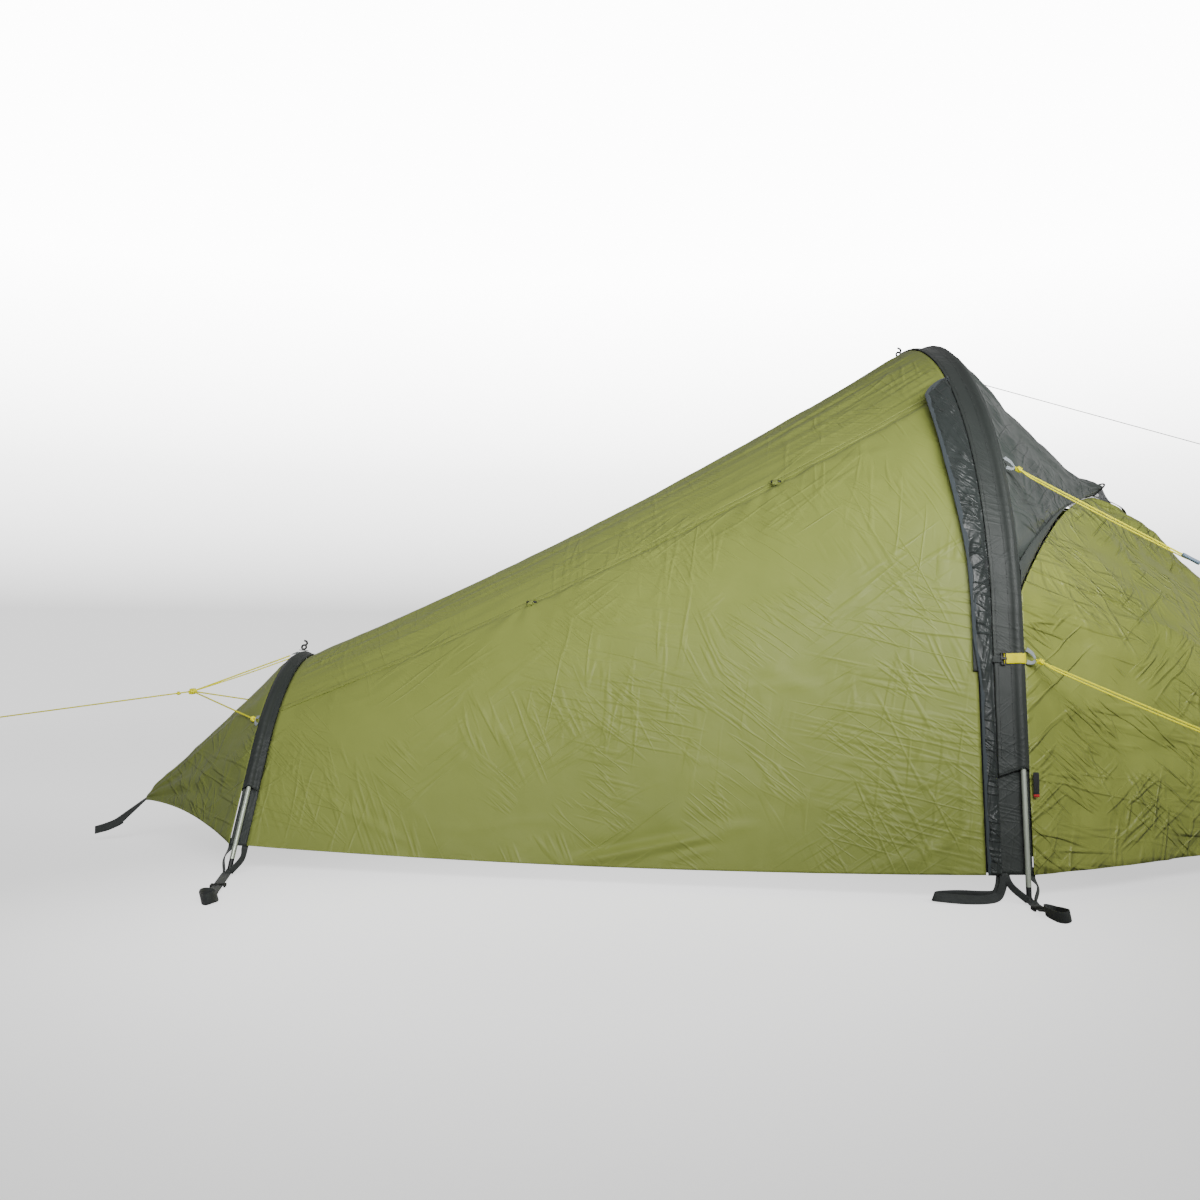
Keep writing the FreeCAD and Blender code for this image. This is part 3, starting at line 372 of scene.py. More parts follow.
def closed_grid(name, rows, mat, body):
    """Quads through rows of points; each row is a ring."""
    P = np.array(rows, float)
    n, m = P.shape[:2]
    faces = []
    for i in range(n - 1):
        for j in range(m):
            k = (j + 1) % m
            faces.append((i * m + j, i * m + k, (i + 1) * m + k, (i + 1) * m + j))
    return new_object(name, P.reshape(-1, 3), faces, mat, body)


def frames(points, up):
    """Unit width directions along a path: up is one vector or one per point."""
    P = [np.asarray(p, float) for p in points]
    ups = up if isinstance(up, list) else [up] * len(P)
    out = []
    for i, p in enumerate(P):
        t = unit(P[min(i + 1, len(P) - 1)] - P[max(i - 1, 0)])
        w = unit(np.cross(ups[i], t))
        out.append((p, t, w, unit(np.cross(t, w))))
    return out


RIBBON_EDGE = 0.25           # softened edge as a share of the thickness


def ribbon(name, points, normals, width, thick, mat, body=TENT, widths=None):
    """Flat webbing with softened edges along a path; normals give the direction its face looks."""
    inner = 0.5 - RIBBON_EDGE * thick / width
    ring_u = [-0.5, -inner, -0.2, 0.2, inner, 0.5, 0.5, inner, 0.2, -0.2, -inner, -0.5]
    ring_v = [0.25, 0.5, 0.5, 0.5, 0.5, 0.25, -0.25, -0.5, -0.5, -0.5, -0.5, -0.25]
    fr = frames(points, normals)
    verts, faces = [], []
    m = len(ring_u)
    for k, (p, _, w, n) in enumerate(fr):
        wd = widths[k] if widths else width
        for u, v in zip(ring_u, ring_v):
            verts.append(p + w * (u * wd) + n * (v * thick))
    for i in range(len(fr) - 1):
        for j in range(m):
            a, b = i * m + j, i * m + (j + 1) % m
            faces.append((a, a + m, b + m, b))
    faces.append(tuple(range(m)))
    faces.append(tuple(range((len(fr) - 1) * m, len(fr) * m))[::-1])
    return new_object(name, verts, faces, mat, body)


def tube(name, points, radius, mat, body=TENT, sides=8, closed=False, radii=None):
    P = [np.asarray(p, float) for p in points]
    count = len(P)
    verts, faces = [], []
    t0 = unit(P[1] - P[0])
    w = unit(np.cross(t0, vec(0.3, 0.2, 0.93) if abs(t0[2]) < 0.9 else vec(1, 0, 0)))
    for i in range(count):
        a = P[(i - 1) % count] if closed else P[max(i - 1, 0)]
        b = P[(i + 1) % count] if closed else P[min(i + 1, count - 1)]
        t = unit(b - a)
        w = unit(w - t * np.dot(w, t))
        n = np.cross(t, w)
        r = radii[i] if radii else radius
        for k in range(sides):
            q = 2 * math.pi * k / sides
            verts.append(P[i] + w * (r * math.cos(q)) + n * (r * math.sin(q)))
    for i in range(count if closed else count - 1):
        for k in range(sides):
            a, b = i * sides + k, i * sides + (k + 1) % sides
            c = ((i + 1) % count) * sides
            faces.append((a, b, c + (k + 1) % sides, c + k))
    if not closed:
        faces.append(tuple(range(sides))[::-1])
        faces.append(tuple(range((count - 1) * sides, count * sides)))
    return new_object(name, verts, faces, mat, body)


def spline_points(points, count):
    """Catmull-Rom samples through a few given points, for webbing and small trim."""
    P = [np.asarray(p, float) for p in points]
    P = [2 * P[0] - P[1]] + P + [2 * P[-1] - P[-2]]
    out = []
    segs = len(P) - 3
    for s in range(count + 1):
        t = s / count * segs
        i = min(int(t), segs - 1)
        f = t - i
        a, b, c, d = P[i:i + 4]
        out.append(0.5 * ((2 * b) + (c - a) * f + (2 * a - 5 * b + 4 * c - d) * f ** 2
                          + (3 * b - a - 3 * c + d) * f ** 3))
    return out


def joined(objs, name):
    """Join meshes that ride on one body into one named piece."""
    bpy.ops.object.select_all(action="DESELECT")
    for o in objs:
        o.select_set(True)
    bpy.context.view_layer.objects.active = objs[0]
    bpy.ops.object.join()
    objs[0].name = name
    return objs[0]


def bevelled(o, width):
    b = o.modifiers.new("bevel", "BEVEL")
    b.width, b.segments, b.limit_method = width, 3, "ANGLE"
    return o


def applied(parts, modifier):
    """Make each part's modifier part of its mesh."""
    for o in parts:
        with bpy.context.temp_override(object=o, active_object=o, selected_objects=[o]):
            bpy.ops.object.modifier_apply(modifier=modifier)
    return parts


# ---------------------------------------------------------------- guy lines: two points each, taut
CORD_D, APEX_D = 0.003, 0.0018
REAR_LEGS = ("guy_rear_near", "guy_rear_far", "guy_rear_top")      # they meet in one knot
LINES = {
    "guy_front_upper_near": ((0.29183, -0.55373, 0.70565), (1.38000, -0.93000, 0.00200)),
    "guy_front_lower_near": ((0.29161, -0.63970, 0.38011), (1.07700, -0.93000, 0.00200)),
    "guy_front_upper_far": ((0.29183, 0.55373, 0.70565), (1.38000, 0.93000, 0.00200)),
    "guy_front_lower_far": ((0.29161, 0.63970, 0.38011), (1.07700, 0.93000, 0.00200)),
    "guy_rear_near": ((-1.09696, -0.23860, 0.27217), (-1.28997, -0.00488, 0.31804)),
    "guy_rear_far": ((-1.09696, 0.23860, 0.27217), (-1.28997, 0.00488, 0.31804)),
    "guy_rear_top": ((-1.08616, 0.0, 0.39515), (-1.28799, 0.0, 0.32120)),
    "guy_rear_main": ((-1.29995, 0.0, 0.31820), (-1.76300, 0.0, 0.25600)),
    "guy_apex": ((0.29700, 0.0, 1.01200), (0.93700, 0.0, 0.83400)),
}
REAR_KNOT = vec(-1.294, 0.0, 0.319)


def cord_curve(name, points, diameter, mat):
    c = bpy.data.curves.new(name, "CURVE")
    c.dimensions = "3D"
    c.bevel_depth = diameter / 2
    c.bevel_resolution = 3
    c.resolution_u = 12
    s = c.splines.new("NURBS")
    s.points.add(len(points) - 1)
    for k, p in enumerate(points):
        s.points[k].co = (*p, 1.0)
    s.order_u = 3
    s.use_endpoint_u = True
    c.materials.append(mat)
    o = bpy.data.objects.new(name + "_line", c)
    bpy.context.scene.collection.objects.link(o)
    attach(o, TENT)
    return o


def wrap_knot(name, centre, axis, mat, size=0.0042, turns=3.2, length=0.009, d=0.0026):
    """A lump of line wound round itself, with a short loop through it."""
    axis = unit(axis)
    w = unit(np.cross(axis, vec(0.2, 0.1, 1.0)))
    n = np.cross(axis, w)
    pts = []
    count = int(turns * 14)
    for k in range(count + 1):
        a = 2 * math.pi * turns * k / count
        r = size * (0.82 + 0.18 * math.sin(math.pi * k / count))
        pts.append(centre + axis * (length * (k / count - 0.5)) + w * (r * math.cos(a))
                   + n * (r * math.sin(a)))
    coil = tube(name + "_coil", pts, d / 2, mat, sides=7)
    over = [centre - axis * length * 0.62 + w * size * 0.2, centre - axis * length * 0.3 + w * size * 1.25,
            centre + axis * length * 0.3 + w * size * 1.3 + n * size * 0.5, centre + axis * length * 0.62
            + n * size * 0.2]
    strand = tube(name + "_over", spline_points(over, 14), d / 2, mat, sides=7)
    return joined([coil, strand], name)


def end_loop(name, at, direction, mat, length=0.05, d=0.0028):
    """The tied eye that a line ends in."""
    direction = unit(direction)
    side = unit(np.cross(direction, vec(0, 0, 1)))
    p = [at, at + direction * length * 0.3 + side * length * 0.16, at + direction * length * 0.75
         + side * length * 0.2, at + direction * length, at + direction * length * 0.75 - side * length * 0.2,
         at + direction * length * 0.3 - side * length * 0.16, at + side * 0.001]
    p = [q if q[2] > d / 2 else vec(q[0], q[1], d / 2 + 0.0002) for q in p]
    return tube(name, spline_points(p, 40), d / 2, mat, sides=7)


cord_objects = {}
for name, (a, b) in LINES.items():
    thin = name == "guy_apex"
    a, b = vec(*a), vec(*b)
    d = unit(b - a)
    mat = CORD_GREY if thin else CORD_YELLOW
    extras = []
    dia = APEX_D if thin else CORD_D
    start = a
    if name.startswith("guy_front") or name in REAR_LEGS[:2]:
        start = a - d * 0.012
        extras.append(wrap_knot(name + "_knot", a - d * 0.0045, d, mat))
    end = b
    if name.startswith("guy_front"):
        end = b - d * 0.050
        extras.append(wrap_knot(name + "_end_knot", end, d, mat))
        extras.append(end_loop(name + "_eye", end + d * 0.002, d, mat, 0.046))
        drop = vec(0, 0, -0.0042)
        back = [a + d * x + drop * y for x, y in ((0.004, 0.3), (0.03, 1.0), (0.16, 1.25), (0.28, 0.9),
                                                  (0.300, 0.4))]
        extras.append(tube(name + "_return", spline_points(back, 24), 0.0014, mat, sides=8))
    if name == "guy_rear_main":
        start = REAR_KNOT
        end = b - d * 0.052
        extras.append(wrap_knot(name + "_stop_knot", REAR_KNOT + d * 0.030, d, mat, size=0.0030, turns=2.2,
                                length=0.006))
        extras.append(wrap_knot(name + "_end_knot", end, d, mat))
        extras.append(end_loop(name + "_eye", end + d * 0.002, d, mat, 0.046))
    if name in REAR_LEGS:
        end = REAR_KNOT
    if name == "guy_rear_top":
        back = [a + vec(0.001, 0.003, -0.0052), lerp(a, b, 0.5) + vec(0, 0.001, -0.0046),
                b + vec(0, 0, -0.0008)]
        extras.append(tube(name + "_return", spline_points(back, 16), 0.0013, mat, sides=8))
    if thin:
        end = b - d * 0.03
        extras.append(wrap_knot(name + "_end_knot", end, d, mat, size=0.0022, length=0.006, d=0.0015))
        extras.append(end_loop(name + "_eye", end + d * 0.001, d, mat, 0.026, 0.0015))
    curve = cord_curve(name, [tuple(start), tuple(end)], dia, mat)
    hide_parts(name)
    cord_objects[name] = (curve, extras, start, end)

rear_lump = wrap_knot("guy_rear_lump", REAR_KNOT, unit(vec(1, 0, 0.13)), CORD_YELLOW, size=0.0055, turns=4.2,
                      length=0.014, d=0.003)
dress(rear_lump, "cord_yellow", "guy_knots")
for name, (curve, extras, start, end) in cord_objects.items():
    thin = name == "guy_apex"
    pieces = list(extras)
    if name == "guy_rear_main":
        pieces.append(rear_lump)


# ---------------------------------------------------------------- cloth helpers
def rough(p, scale, seed=0.0, octaves=3):
    """Smooth noise about -1..1 at a point; scale may be one number or three."""
    s = np.asarray(scale, float) * np.asarray(p, float)
    return noise.fractal(Vector(tuple(s + seed)), 1.0, 2.0, octaves)


def ridge(p, scale, seed=0.0):
    """Sharp crease lines: 1 on a line, falling to 0 between lines."""
    s = np.asarray(scale, float) * np.asarray(p, float)
    n = noise.noise(Vector(tuple(s + seed)))
    return max(0.0, 1.0 - abs(n) * 9.0)


def crease(p, a, b, width, height):
    """One fold line from a to b in x and z; it fades out at both ends."""
    q = vec(p[0], p[2])
    a, b = vec(*a), vec(*b)
    d = b - a
    t = np.dot(q - a, d) / np.dot(d, d)
    if t < -0.1 or t > 1.1:
        return 0.0
    off = (d[0] * (q - a)[1] - d[1] * (q - a)[0]) / np.linalg.norm(d)
    fade = smooth((t + 0.1) / 0.3) * smooth((1.1 - t) / 0.4)
    x = off / width
    return height * fade * (math.exp(-x * x) - 0.55 * math.exp(-(x - 1.5) ** 2))


def surface(name, func, nu, nv, mat, lift=None, away=(0, 0, 0.3), body=TENT, parent=True, keep=None,
            thick=0.0005):
    """Cloth sheet through func(u, v); normals look away from the point given, lift pushes along them."""
    U = np.linspace(0, 1, nu) if np.isscalar(nu) else np.asarray(nu)
    W = np.linspace(0, 1, nv) if np.isscalar(nv) else np.asarray(nv)
    P = np.array([[func(u, v) for v in W] for u in U])
    du, dv = np.gradient(P, axis=0), np.gradient(P, axis=1)
    N = np.cross(du, dv)
    N /= np.maximum(np.linalg.norm(N, axis=2, keepdims=True), 1e-9)
    flip = float((N * (P - np.asarray(away, float))).sum()) < 0
    if flip:
        N = -N
    if lift is not None:
        H = np.array([[lift(u, v, P[i, j]) for j, v in enumerate(W)] for i, u in enumerate(U)])
        P = P + N * H[..., None]
    m = len(W)
    faces = []
    for i in range(len(U) - 1):
        for j in range(m - 1):
            if keep is not None and not keep((U[i] + U[i + 1]) / 2, (W[j] + W[j + 1]) / 2):
                continue
            a, b, c, d = i * m + j, i * m + j + 1, (i + 1) * m + j + 1, (i + 1) * m + j
            faces.append((a, b, c, d) if flip else (a, d, c, b))
    o = new_object(name, P.reshape(-1, 3), faces, mat, body, parent=parent)
    if thick:
        s = o.modifiers.new("cloth", "SOLIDIFY")
        s.thickness, s.offset = thick, -1
    return o


def ends(t, start, end=None):
    """Rises from 0 at t 0 and falls back to 0 at t 1, over the two widths given."""
    return smooth(t / start) * smooth((1 - t) / (end or start))


def split(v):
    """Share -1..1 across the tent, its side and its size."""
    share = 2 * v - 1
    return share, (NEAR if share < 0 else FAR), abs(share)


def stitches(name, path, normals, mat, body=TENT, pitch=0.0052, length=0.0034, radius=0.00036):
    """A row of thread stitches lying along a path."""
    P = [np.asarray(p, float) for p in path]
    run = [0.0]
    for a, b in zip(P, P[1:]):
        run.append(run[-1] + float(np.linalg.norm(b - a)))
    run = np.array(run)
    arr = np.array(P)
    ns = np.array([unit(n) for n in (normals if isinstance(normals, list) else [normals] * len(P))])

    def along_path(s):
        return vec(*[np.interp(s, run, arr[:, k]) for k in range(3)]), \
            vec(*[np.interp(s, run, ns[:, k]) for k in range(3)])
    verts, faces = [], []
    s = 0.0
    while s + length < run[-1]:
        a, n = along_path(s)
        b, _ = along_path(s + length)
        t = unit(b - a)
        w = unit(np.cross(n, t))
        base = len(verts)
        for q, r in ((a - n * radius * 0.6, 0.3), (lerp(a, b, 0.25), 1.0), (lerp(a, b, 0.75), 1.0),
                     (b - n * radius * 0.6, 0.3)):
            for k in range(4):
                ang = math.pi / 2 * k + math.pi / 4
                verts.append(q + w * (radius * r * math.cos(ang)) + n * (radius * r * math.sin(ang)))
        for ring in range(3):
            for k in range(4):
                c, d = base + ring * 4 + k, base + ring * 4 + (k + 1) % 4
                faces.append((c, d, d + 4, c + 4))
        s += pitch
    return new_object(name, verts, faces, mat, body)


FLY_OFF = -0.002                            # cloth lies this far inside the hoop's centre line
INSIDE_SIDES = (-0.4, 0, 0.4)               # a point inside the tent, for the way cloth faces
BACK_DX, FRONT_DX = -0.0405, 0.0105          # cloth edges behind and before the front sleeve
REAR_FRONT_DX, REAR_BACK_DX = 0.0195, -0.0125
HEM_FRONT, HEM_REAR = 0.044, 0.051           # hem heights at the two hoops
SEAM_FRONT, SEAM_REAR = 0.888, 0.295         # roof seam heights at the two hoops
seam_f, seam_r = front.run_at(SEAM_FRONT), rear.run_at(SEAM_REAR)
hem_f, hem_r = front.run_at(HEM_FRONT), rear.run_at(HEM_REAR)
ROOF_SAG, SEAM_SAG = 0.030, 0.028


# ---------------------------------------------------------------- roof
def roof_point(t, share):
    side = NEAR if share < 0 else FAR
    s = abs(share)
    p = lerp(front.at(s * seam_f, side, FLY_OFF, BACK_DX), rear.at(s * seam_r, side, FLY_OFF, REAR_FRONT_DX),
             t)
    p[2] -= lerp(SEAM_SAG, ROOF_SAG, math.cos(s * math.pi / 2)) * 4 * t * (1 - t)
    return p


def roof_lift(t, v, p):
    share = 2 * v - 1
    edge = ends(t, 0.03, 0.04)
    side = smooth((1 - abs(share)) / 0.05)
    drift = 0.35 * rough((t * 2.0, share * 2.0, 3.0), 1.0, 1.0, 2)
    long_folds = rough((t * 1.7, (share + drift * 0.2) * 9, 1.3), 1.0, 4.0, 3)
    streaks = ridge((t * 1.5, share * 7 + drift * 2, 0.4), 1.0,
                    31.0) * smooth(rough((t * 3, share * 4, 9.0), 1.0, 2.0, 1) * 4)
    fan = rough((t * 5.0, share * 24, 0.7), 1.0, 9.0, 2) * math.exp(-t * 5.0)
    tail_gather = rough((t * 9.0, share * 20, 5.7), 1.0, 3.0, 2) * math.exp(-(1 - t) * 9.0)
    small = rough(p, 13.0, 2.0, 3)
    folds = 0.0028 * long_folds + 0.0016 * streaks + 0.0044 * fan + 0.0022 * tail_gather
    return edge * (side * folds + 0.0011 * small)


roof = surface("roof_cloth", lambda t, v: roof_point(t, 2 * v - 1), 210, 190, GREEN, roof_lift,
               away=(-0.4, 0, 0.2))
dress(roof, "fly_green", "fly_roof")

# ---------------------------------------------------------------- near and far sides
HEM_DROP = 0.012
diag_low = rear.at(rear.run_at(HEM_REAR + 0.006), NEAR, FLY_OFF, REAR_FRONT_DX + 0.006)
diag_top = front.at(front.run_at(SEAM_FRONT + 0.012), NEAR, FLY_OFF, BACK_DX)
diag = unit(diag_top - diag_low)
out_normal = vec(0, -1.0, 0.42)
out_normal = unit(out_normal - diag * np.dot(out_normal, diag))
fold_down = unit(np.cross(diag, out_normal))
if fold_down[2] > 0:
    fold_down = -fold_down


def side_point(t, s, side, front_edge):
    f = front.at(lerp(seam_f, hem_f, s), side, FLY_OFF, front_edge(s))
    r = rear.at(lerp(seam_r, hem_r, s), side, FLY_OFF, REAR_FRONT_DX)
    p = lerp(f, r, t)
    p[2] -= (HEM_DROP * s ** 4 + SEAM_SAG * (1 - s) ** 2) * 4 * t * (1 - t)
    return p


def zip_edge(s):
    """The near side's front edge: at the sleeve above the zip, behind the zip below it."""
    return lerp(BACK_DX, -0.0655, smooth((s - 0.02) / 0.035))


NEAR_FOLDS = [((-0.467, 0.040), (-0.205, 0.098), 0.010, 0.0042), ((-0.290, 0.100), (-0.160, 0.112), 0.008,
                                                                  0.0016),
              ((0.125, 0.050), (0.180, 0.150), 0.012, 0.0030), ((0.060, 0.050), (0.175, 0.118), 0.009,
                                                                0.0026),
              ((0.020, 0.048), (0.120, 0.092), 0.007, 0.0016), ((-0.320, 0.046), (-0.230, 0.072), 0.007,
                                                                0.0018),
              ((-0.120, 0.130), (0.020, 0.250), 0.006, 0.0010), ((0.080, 0.330), (0.118, 0.150), 0.004,
                                                                 0.0011),
              ((-0.620, 0.330), (-0.200, 0.372), 0.006, 0.0009), ((-0.250, 0.340), (0.120, 0.350), 0.005,
                                                                  0.0008),
              ((-0.300, 0.230), (-0.160, 0.190), 0.005, 0.0009), ((-0.120, 0.440), (0.140, 0.520), 0.006,
                                                                  0.0008),
              ((0.030, 0.100), (0.150, 0.190), 0.006, 0.0014), ((-0.180, 0.310), (-0.090, 0.420), 0.004,
                                                                0.0008),
              ((-0.060, 0.735), (0.110, 0.760), 0.007, 0.0013), ((-0.080, 0.700), (0.100, 0.700), 0.007,
                                                                 0.0011),
              ((-0.100, 0.660), (0.120, 0.640), 0.006, 0.0009), ((-0.510, 0.520), (-0.430, 0.450), 0.006,
                                                                 0.0012),
              ((-0.940, 0.140), (-0.760, 0.060), 0.008, 0.0016), ((-0.960, 0.230), (-0.700, 0.190), 0.007,
                                                                  0.0008)]
TOGGLES = (0.245, 0.605)
FOLD_GAIN = 1.5


def side_lift(t, s, p, side):
    """Slow waves, fine creases, gathers along the hem, pulls under the toggles, and the near side's folds."""
    rim = ends(t, 0.02, 0.03) * smooth(s / 0.03)
    hem = smooth((1 - s) / 0.05)
    h = 0.0020 * rough(p, (2.6, 2.6, 3.4), 7.0 * side, 2)
    h += 0.0013 * rough(p, (9, 9, 12), 3.0 * side, 3) + 0.0010 * ridge(p, (3.4, 3.4, 6.5), 11.0 * side)
    h += 0.0008 * ridge(p, (7.5, 7.5, 5.0), 23.0 * side)
    h += 0.0016 * (1 - hem) * rough((p[0] * 20, s * 8, 0), 1.0, 5.0 * side, 2)
    pull = 0.0
    for k in TOGGLES:
        d = math.hypot((t - k) * 1.28, s * 0.62)
        ang = math.atan2(s * 0.62, (t - k) * 1.28)
        pull += 0.0022 * math.exp(-d * 11.0) * math.sin(ang * 9.0)
    h += pull
    if side == NEAR:
        for a, b, w, height in NEAR_FOLDS:
            h += crease(p, a, b, w, height * FOLD_GAIN)
    return h * rim


SIDE_ROWS = np.concatenate([np.linspace(0, 0.04, 9)[:-1], np.linspace(0.04, 0.93, 92)[:-1],
                            np.linspace(0.93, 1, 16)])
near_side = surface("near_side_cloth", lambda t, s: side_point(t, s, NEAR, zip_edge), 168, SIDE_ROWS, GREEN,
                    lambda t, s, p: side_lift(t, s, p, NEAR), away=INSIDE_SIDES, parent=False)
dress(near_side, "fly_green", "fly_side_near", "fly_door_panel")
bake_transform(near_side)
far_side = surface("far_side_cloth", lambda t, s: side_point(t, s, FAR, lambda q: BACK_DX), 150, SIDE_ROWS,
                   GREEN, lambda t, s, p: side_lift(t, s, p, FAR), away=INSIDE_SIDES)
dress(far_side, "fly_green", "fly_side_far")


def surface_normal(func, u, v, away):
    e = 1e-3
    u0, v0 = min(max(u, e), 1 - e), min(max(v, e), 1 - e)
    n = np.cross(func(u0 + e, v0) - func(u0 - e, v0), func(u0, v0 + e) - func(u0, v0 - e))
    n = unit(n)
    return n if np.dot(n, func(u0, v0) - np.asarray(away, float)) > 0 else -n


SEAM_ROW, SEAM_LIFT, SEAM_THICK = 0.32, 0.0006, 0.0008


def seam_band(name, func, path, away, mat, width, thread):
    """Folded seam tape sewn on along a path of (u, v) pairs, with two rows of stitches."""
    P, N = [], []
    for u, v in path:
        n = surface_normal(func, u, v, away)
        N.append(n)
        P.append(func(u, v) + n * (SEAM_LIFT + 0.0002 * rough((u * 40, v * 40, 0), 1.0)))
    band = ribbon(name, P, N, width, SEAM_THICK, mat)
    rows = []
    fr = frames(P, N)
    for k, off in enumerate((-SEAM_ROW, SEAM_ROW)):
        rows.append(stitches("%s_stitch_%d" % (name, k),
                             [p + w * (off * width) + n * (SEAM_THICK * 0.5 + 0.0001)
                                                         for p, _, w, n in fr], N, thread))
    return [band] + rows


THREAD = webbing_material("thread_green", srgb(120, 126, 60), srgb(104, 110, 50), 1500.0)
THREAD_GREY = webbing_material("thread_grey", srgb(52, 56, 56), srgb(40, 44, 44), 1500.0)
roof_trim = []
for side, tag in ((NEAR, "near"), (FAR, "far")):
    def point(u, v, side=side):
        return side_point(u, v, side, (zip_edge if side == NEAR else (lambda q: BACK_DX)))
    seam = [(k / 120, 0.008) for k in range(121)]
    roof_trim += seam_band("roof_seam_" + tag, point, seam, INSIDE_SIDES, GREEN, 0.011, THREAD)

# ---------------------------------------------------------------- pole sleeves
FRONT_SECTION = [(-0.0400, 0.0004), (-0.0370, 0.0012), (-0.0300, 0.0015), (-0.0200, 0.0015),
                 (-0.0120, 0.0020),
                 (-0.0080, 0.0036), (-0.0055, 0.0054), (-0.0028, 0.0067), (0.0, 0.0071), (0.0028, 0.0066),
                 (0.0052, 0.0046), (0.0070, 0.0026), (0.0086, 0.0006), (0.0100, -0.0012)]
REAR_SECTION = [(-0.0120, -0.0012), (-0.0086, 0.0010), (-0.0066, 0.0032), (-0.0040, 0.0052), (0.0, 0.0064),
                (0.0032, 0.0058), (0.0058, 0.0042), (0.0078, 0.0024), (0.0100, 0.0017), (0.0130, 0.0015),
                (0.0165, 0.0013), (0.0190, 0.0004)]


def refine(section, per):
    out = []
    for (a, b), (c, d) in zip(section, section[1:]):
        for k in range(per):
            out.append((lerp(a, c, k / per), lerp(b, d, k / per)))
    return out + [section[-1]]


def sleeve_cloth(name, hoop, section, end_z, hem_z, node, amp, seed):
    """Outer sleeve over the pole down to end_z, and the flat band under it that runs on to the hem."""
    outer = refine(section, 2)
    end_run, hem_run = hoop.run_at(end_z), hoop.run_at(hem_z)
    count = len(outer)
    steps = int(2 * end_run / 0.0055)

    def skin(u, v):
        run = (2 * u - 1) * end_run
        k = v * (count - 1)
        i = min(int(k), count - 2)
        dx, off = lerp(np.array(outer[i]), np.array(outer[i + 1]), k - i)
        slant = 1.0 - smooth((end_run - abs(run)) / 0.03)
        run = run + math.copysign(slant * dx * 0.35, run)
        return hoop.at(abs(run), NEAR if run < 0 else FAR, off, dx)

    def skin_lift(u, v, p):
        run = (2 * u - 1) * end_run
        flat = smooth(abs(0.5 - v) / 0.5)
        rag = 0.0007 * abs(rough((run * 120, v * 3, seed), 1.0, seed, 2)) * (1.0 if min(v, 1 - v) < 0.14
                                                                             else 0.25)
        slow = amp * rough((run * 14, v * 2.2, seed), 1.0, seed, 3)
        return (0.3 + 0.7 * flat) * slow * smooth(min(v, 1 - v) / 0.1) + rag
    cover = surface(name, skin, steps, count, SLEEVE, skin_lift, away=(hoop.x, 0, 0.1))

    lo, hi = section[0][0], section[-1][0]
    inner_dx = [lo, lo + 0.003, lerp(lo, hi, 0.3), -0.0085, -0.0060, -0.0030, 0.0, 0.0030, 0.0060, 0.0085, hi]
    inner_dx = sorted(set(round(x, 5) for x in inner_dx if lo <= x <= hi))
    mouth_run = hoop.run_at(end_z + 0.012)

    def lining(u, v):
        run = (2 * u - 1) * hem_run
        k = v * (len(inner_dx) - 1)
        i = min(int(k), len(inner_dx) - 2)
        dx = lerp(inner_dx[i], inner_dx[i + 1], k - i)
        under = -0.0058 * max(0.0, 1 - (dx / 0.010) ** 2) ** 0.5 if abs(dx) < 0.010 else 0.0
        off = lerp(under - 0.0006, -0.0064, smooth((abs(run) - mouth_run) / 0.03))
        return hoop.at(abs(run), NEAR if run < 0 else FAR, off, dx)

    def lining_lift(u, v, p):
        run = abs(2 * u - 1) * hem_run
        bare = smooth((run - mouth_run) / 0.05) * smooth((hem_run - run) / 0.01)
        return bare * 0.0010 * rough((run * 26, v * 3, seed), 1.0, seed + 3, 3)
    back = surface(name + "_lining", lining, int(2 * hem_run / 0.007), 2 * len(inner_dx) - 1, SLEEVE,
                   lining_lift, away=(hoop.x, 0, 0.1))
    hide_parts(node)
    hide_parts(node)
    trim = []
    for side in (NEAR, FAR):
        lip, lip_n = [], []
        for k in range(count):
            u = 0.5 + 0.5 * side * 0.9985
            p = skin(u, k / (count - 1))
            lip.append(p)
            lip_n.append(surface_normal(skin, min(max(u, 0.01), 0.99), min(max(k / (count - 1), 0.02), 0.98),
                                        (hoop.x, 0, 0.1)))
        trim.append(tube("%s_lip_%d" % (name, side), [p + n * 0.0002 for p, n in zip(lip, lip_n)], 0.0009,
                         SLEEVE, sides=6))
    return cover, back, trim, end_run


FRONT_SLEEVE_END, REAR_SLEEVE_END = 0.212, 0.150         # the round sleeve ends at these heights
front_sleeve, front_back_cloth, front_trim, front_end = sleeve_cloth(
    "front_sleeve_cloth", front, FRONT_SECTION, FRONT_SLEEVE_END, HEM_FRONT, "front_pole_sleeve", 0.0016, 2.0)
rear_sleeve, rear_back_cloth, rear_trim, rear_end = sleeve_cloth(
    "rear_sleeve_cloth", rear, REAR_SECTION, REAR_SLEEVE_END, HEM_REAR, "rear_pole_sleeve", 0.0010, 5.0)


def sleeve_rows(hoop, end_run, dx, off, name):
    out = []
    for side in (NEAR, FAR):
        runs = np.linspace(0.0, end_run - 0.012, 260)
        path = [hoop.at(r, side, off, dx) for r in runs]
        nrm = [hoop.out(r, side) for r in runs]
        out.append(stitches("%s_%d" % (name, side), path, nrm, THREAD_GREY, pitch=0.0045, length=0.003))
    return out


for trim, hoop, end_run, dx, off, name in (
        (front_trim, front, front_end, -0.0340, 0.0026, "front_sleeve_stitch_a"),
        (front_trim, front, front_end, -0.0130, 0.0030, "front_sleeve_stitch_b"),
        (rear_trim, rear, rear_end, 0.0112, 0.0026, "rear_sleeve_stitch"),
        (rear_trim, rear, rear_end, 0.0168, 0.0024, "rear_sleeve_stitch_b")):
    trim += sleeve_rows(hoop, end_run, dx, off, name)

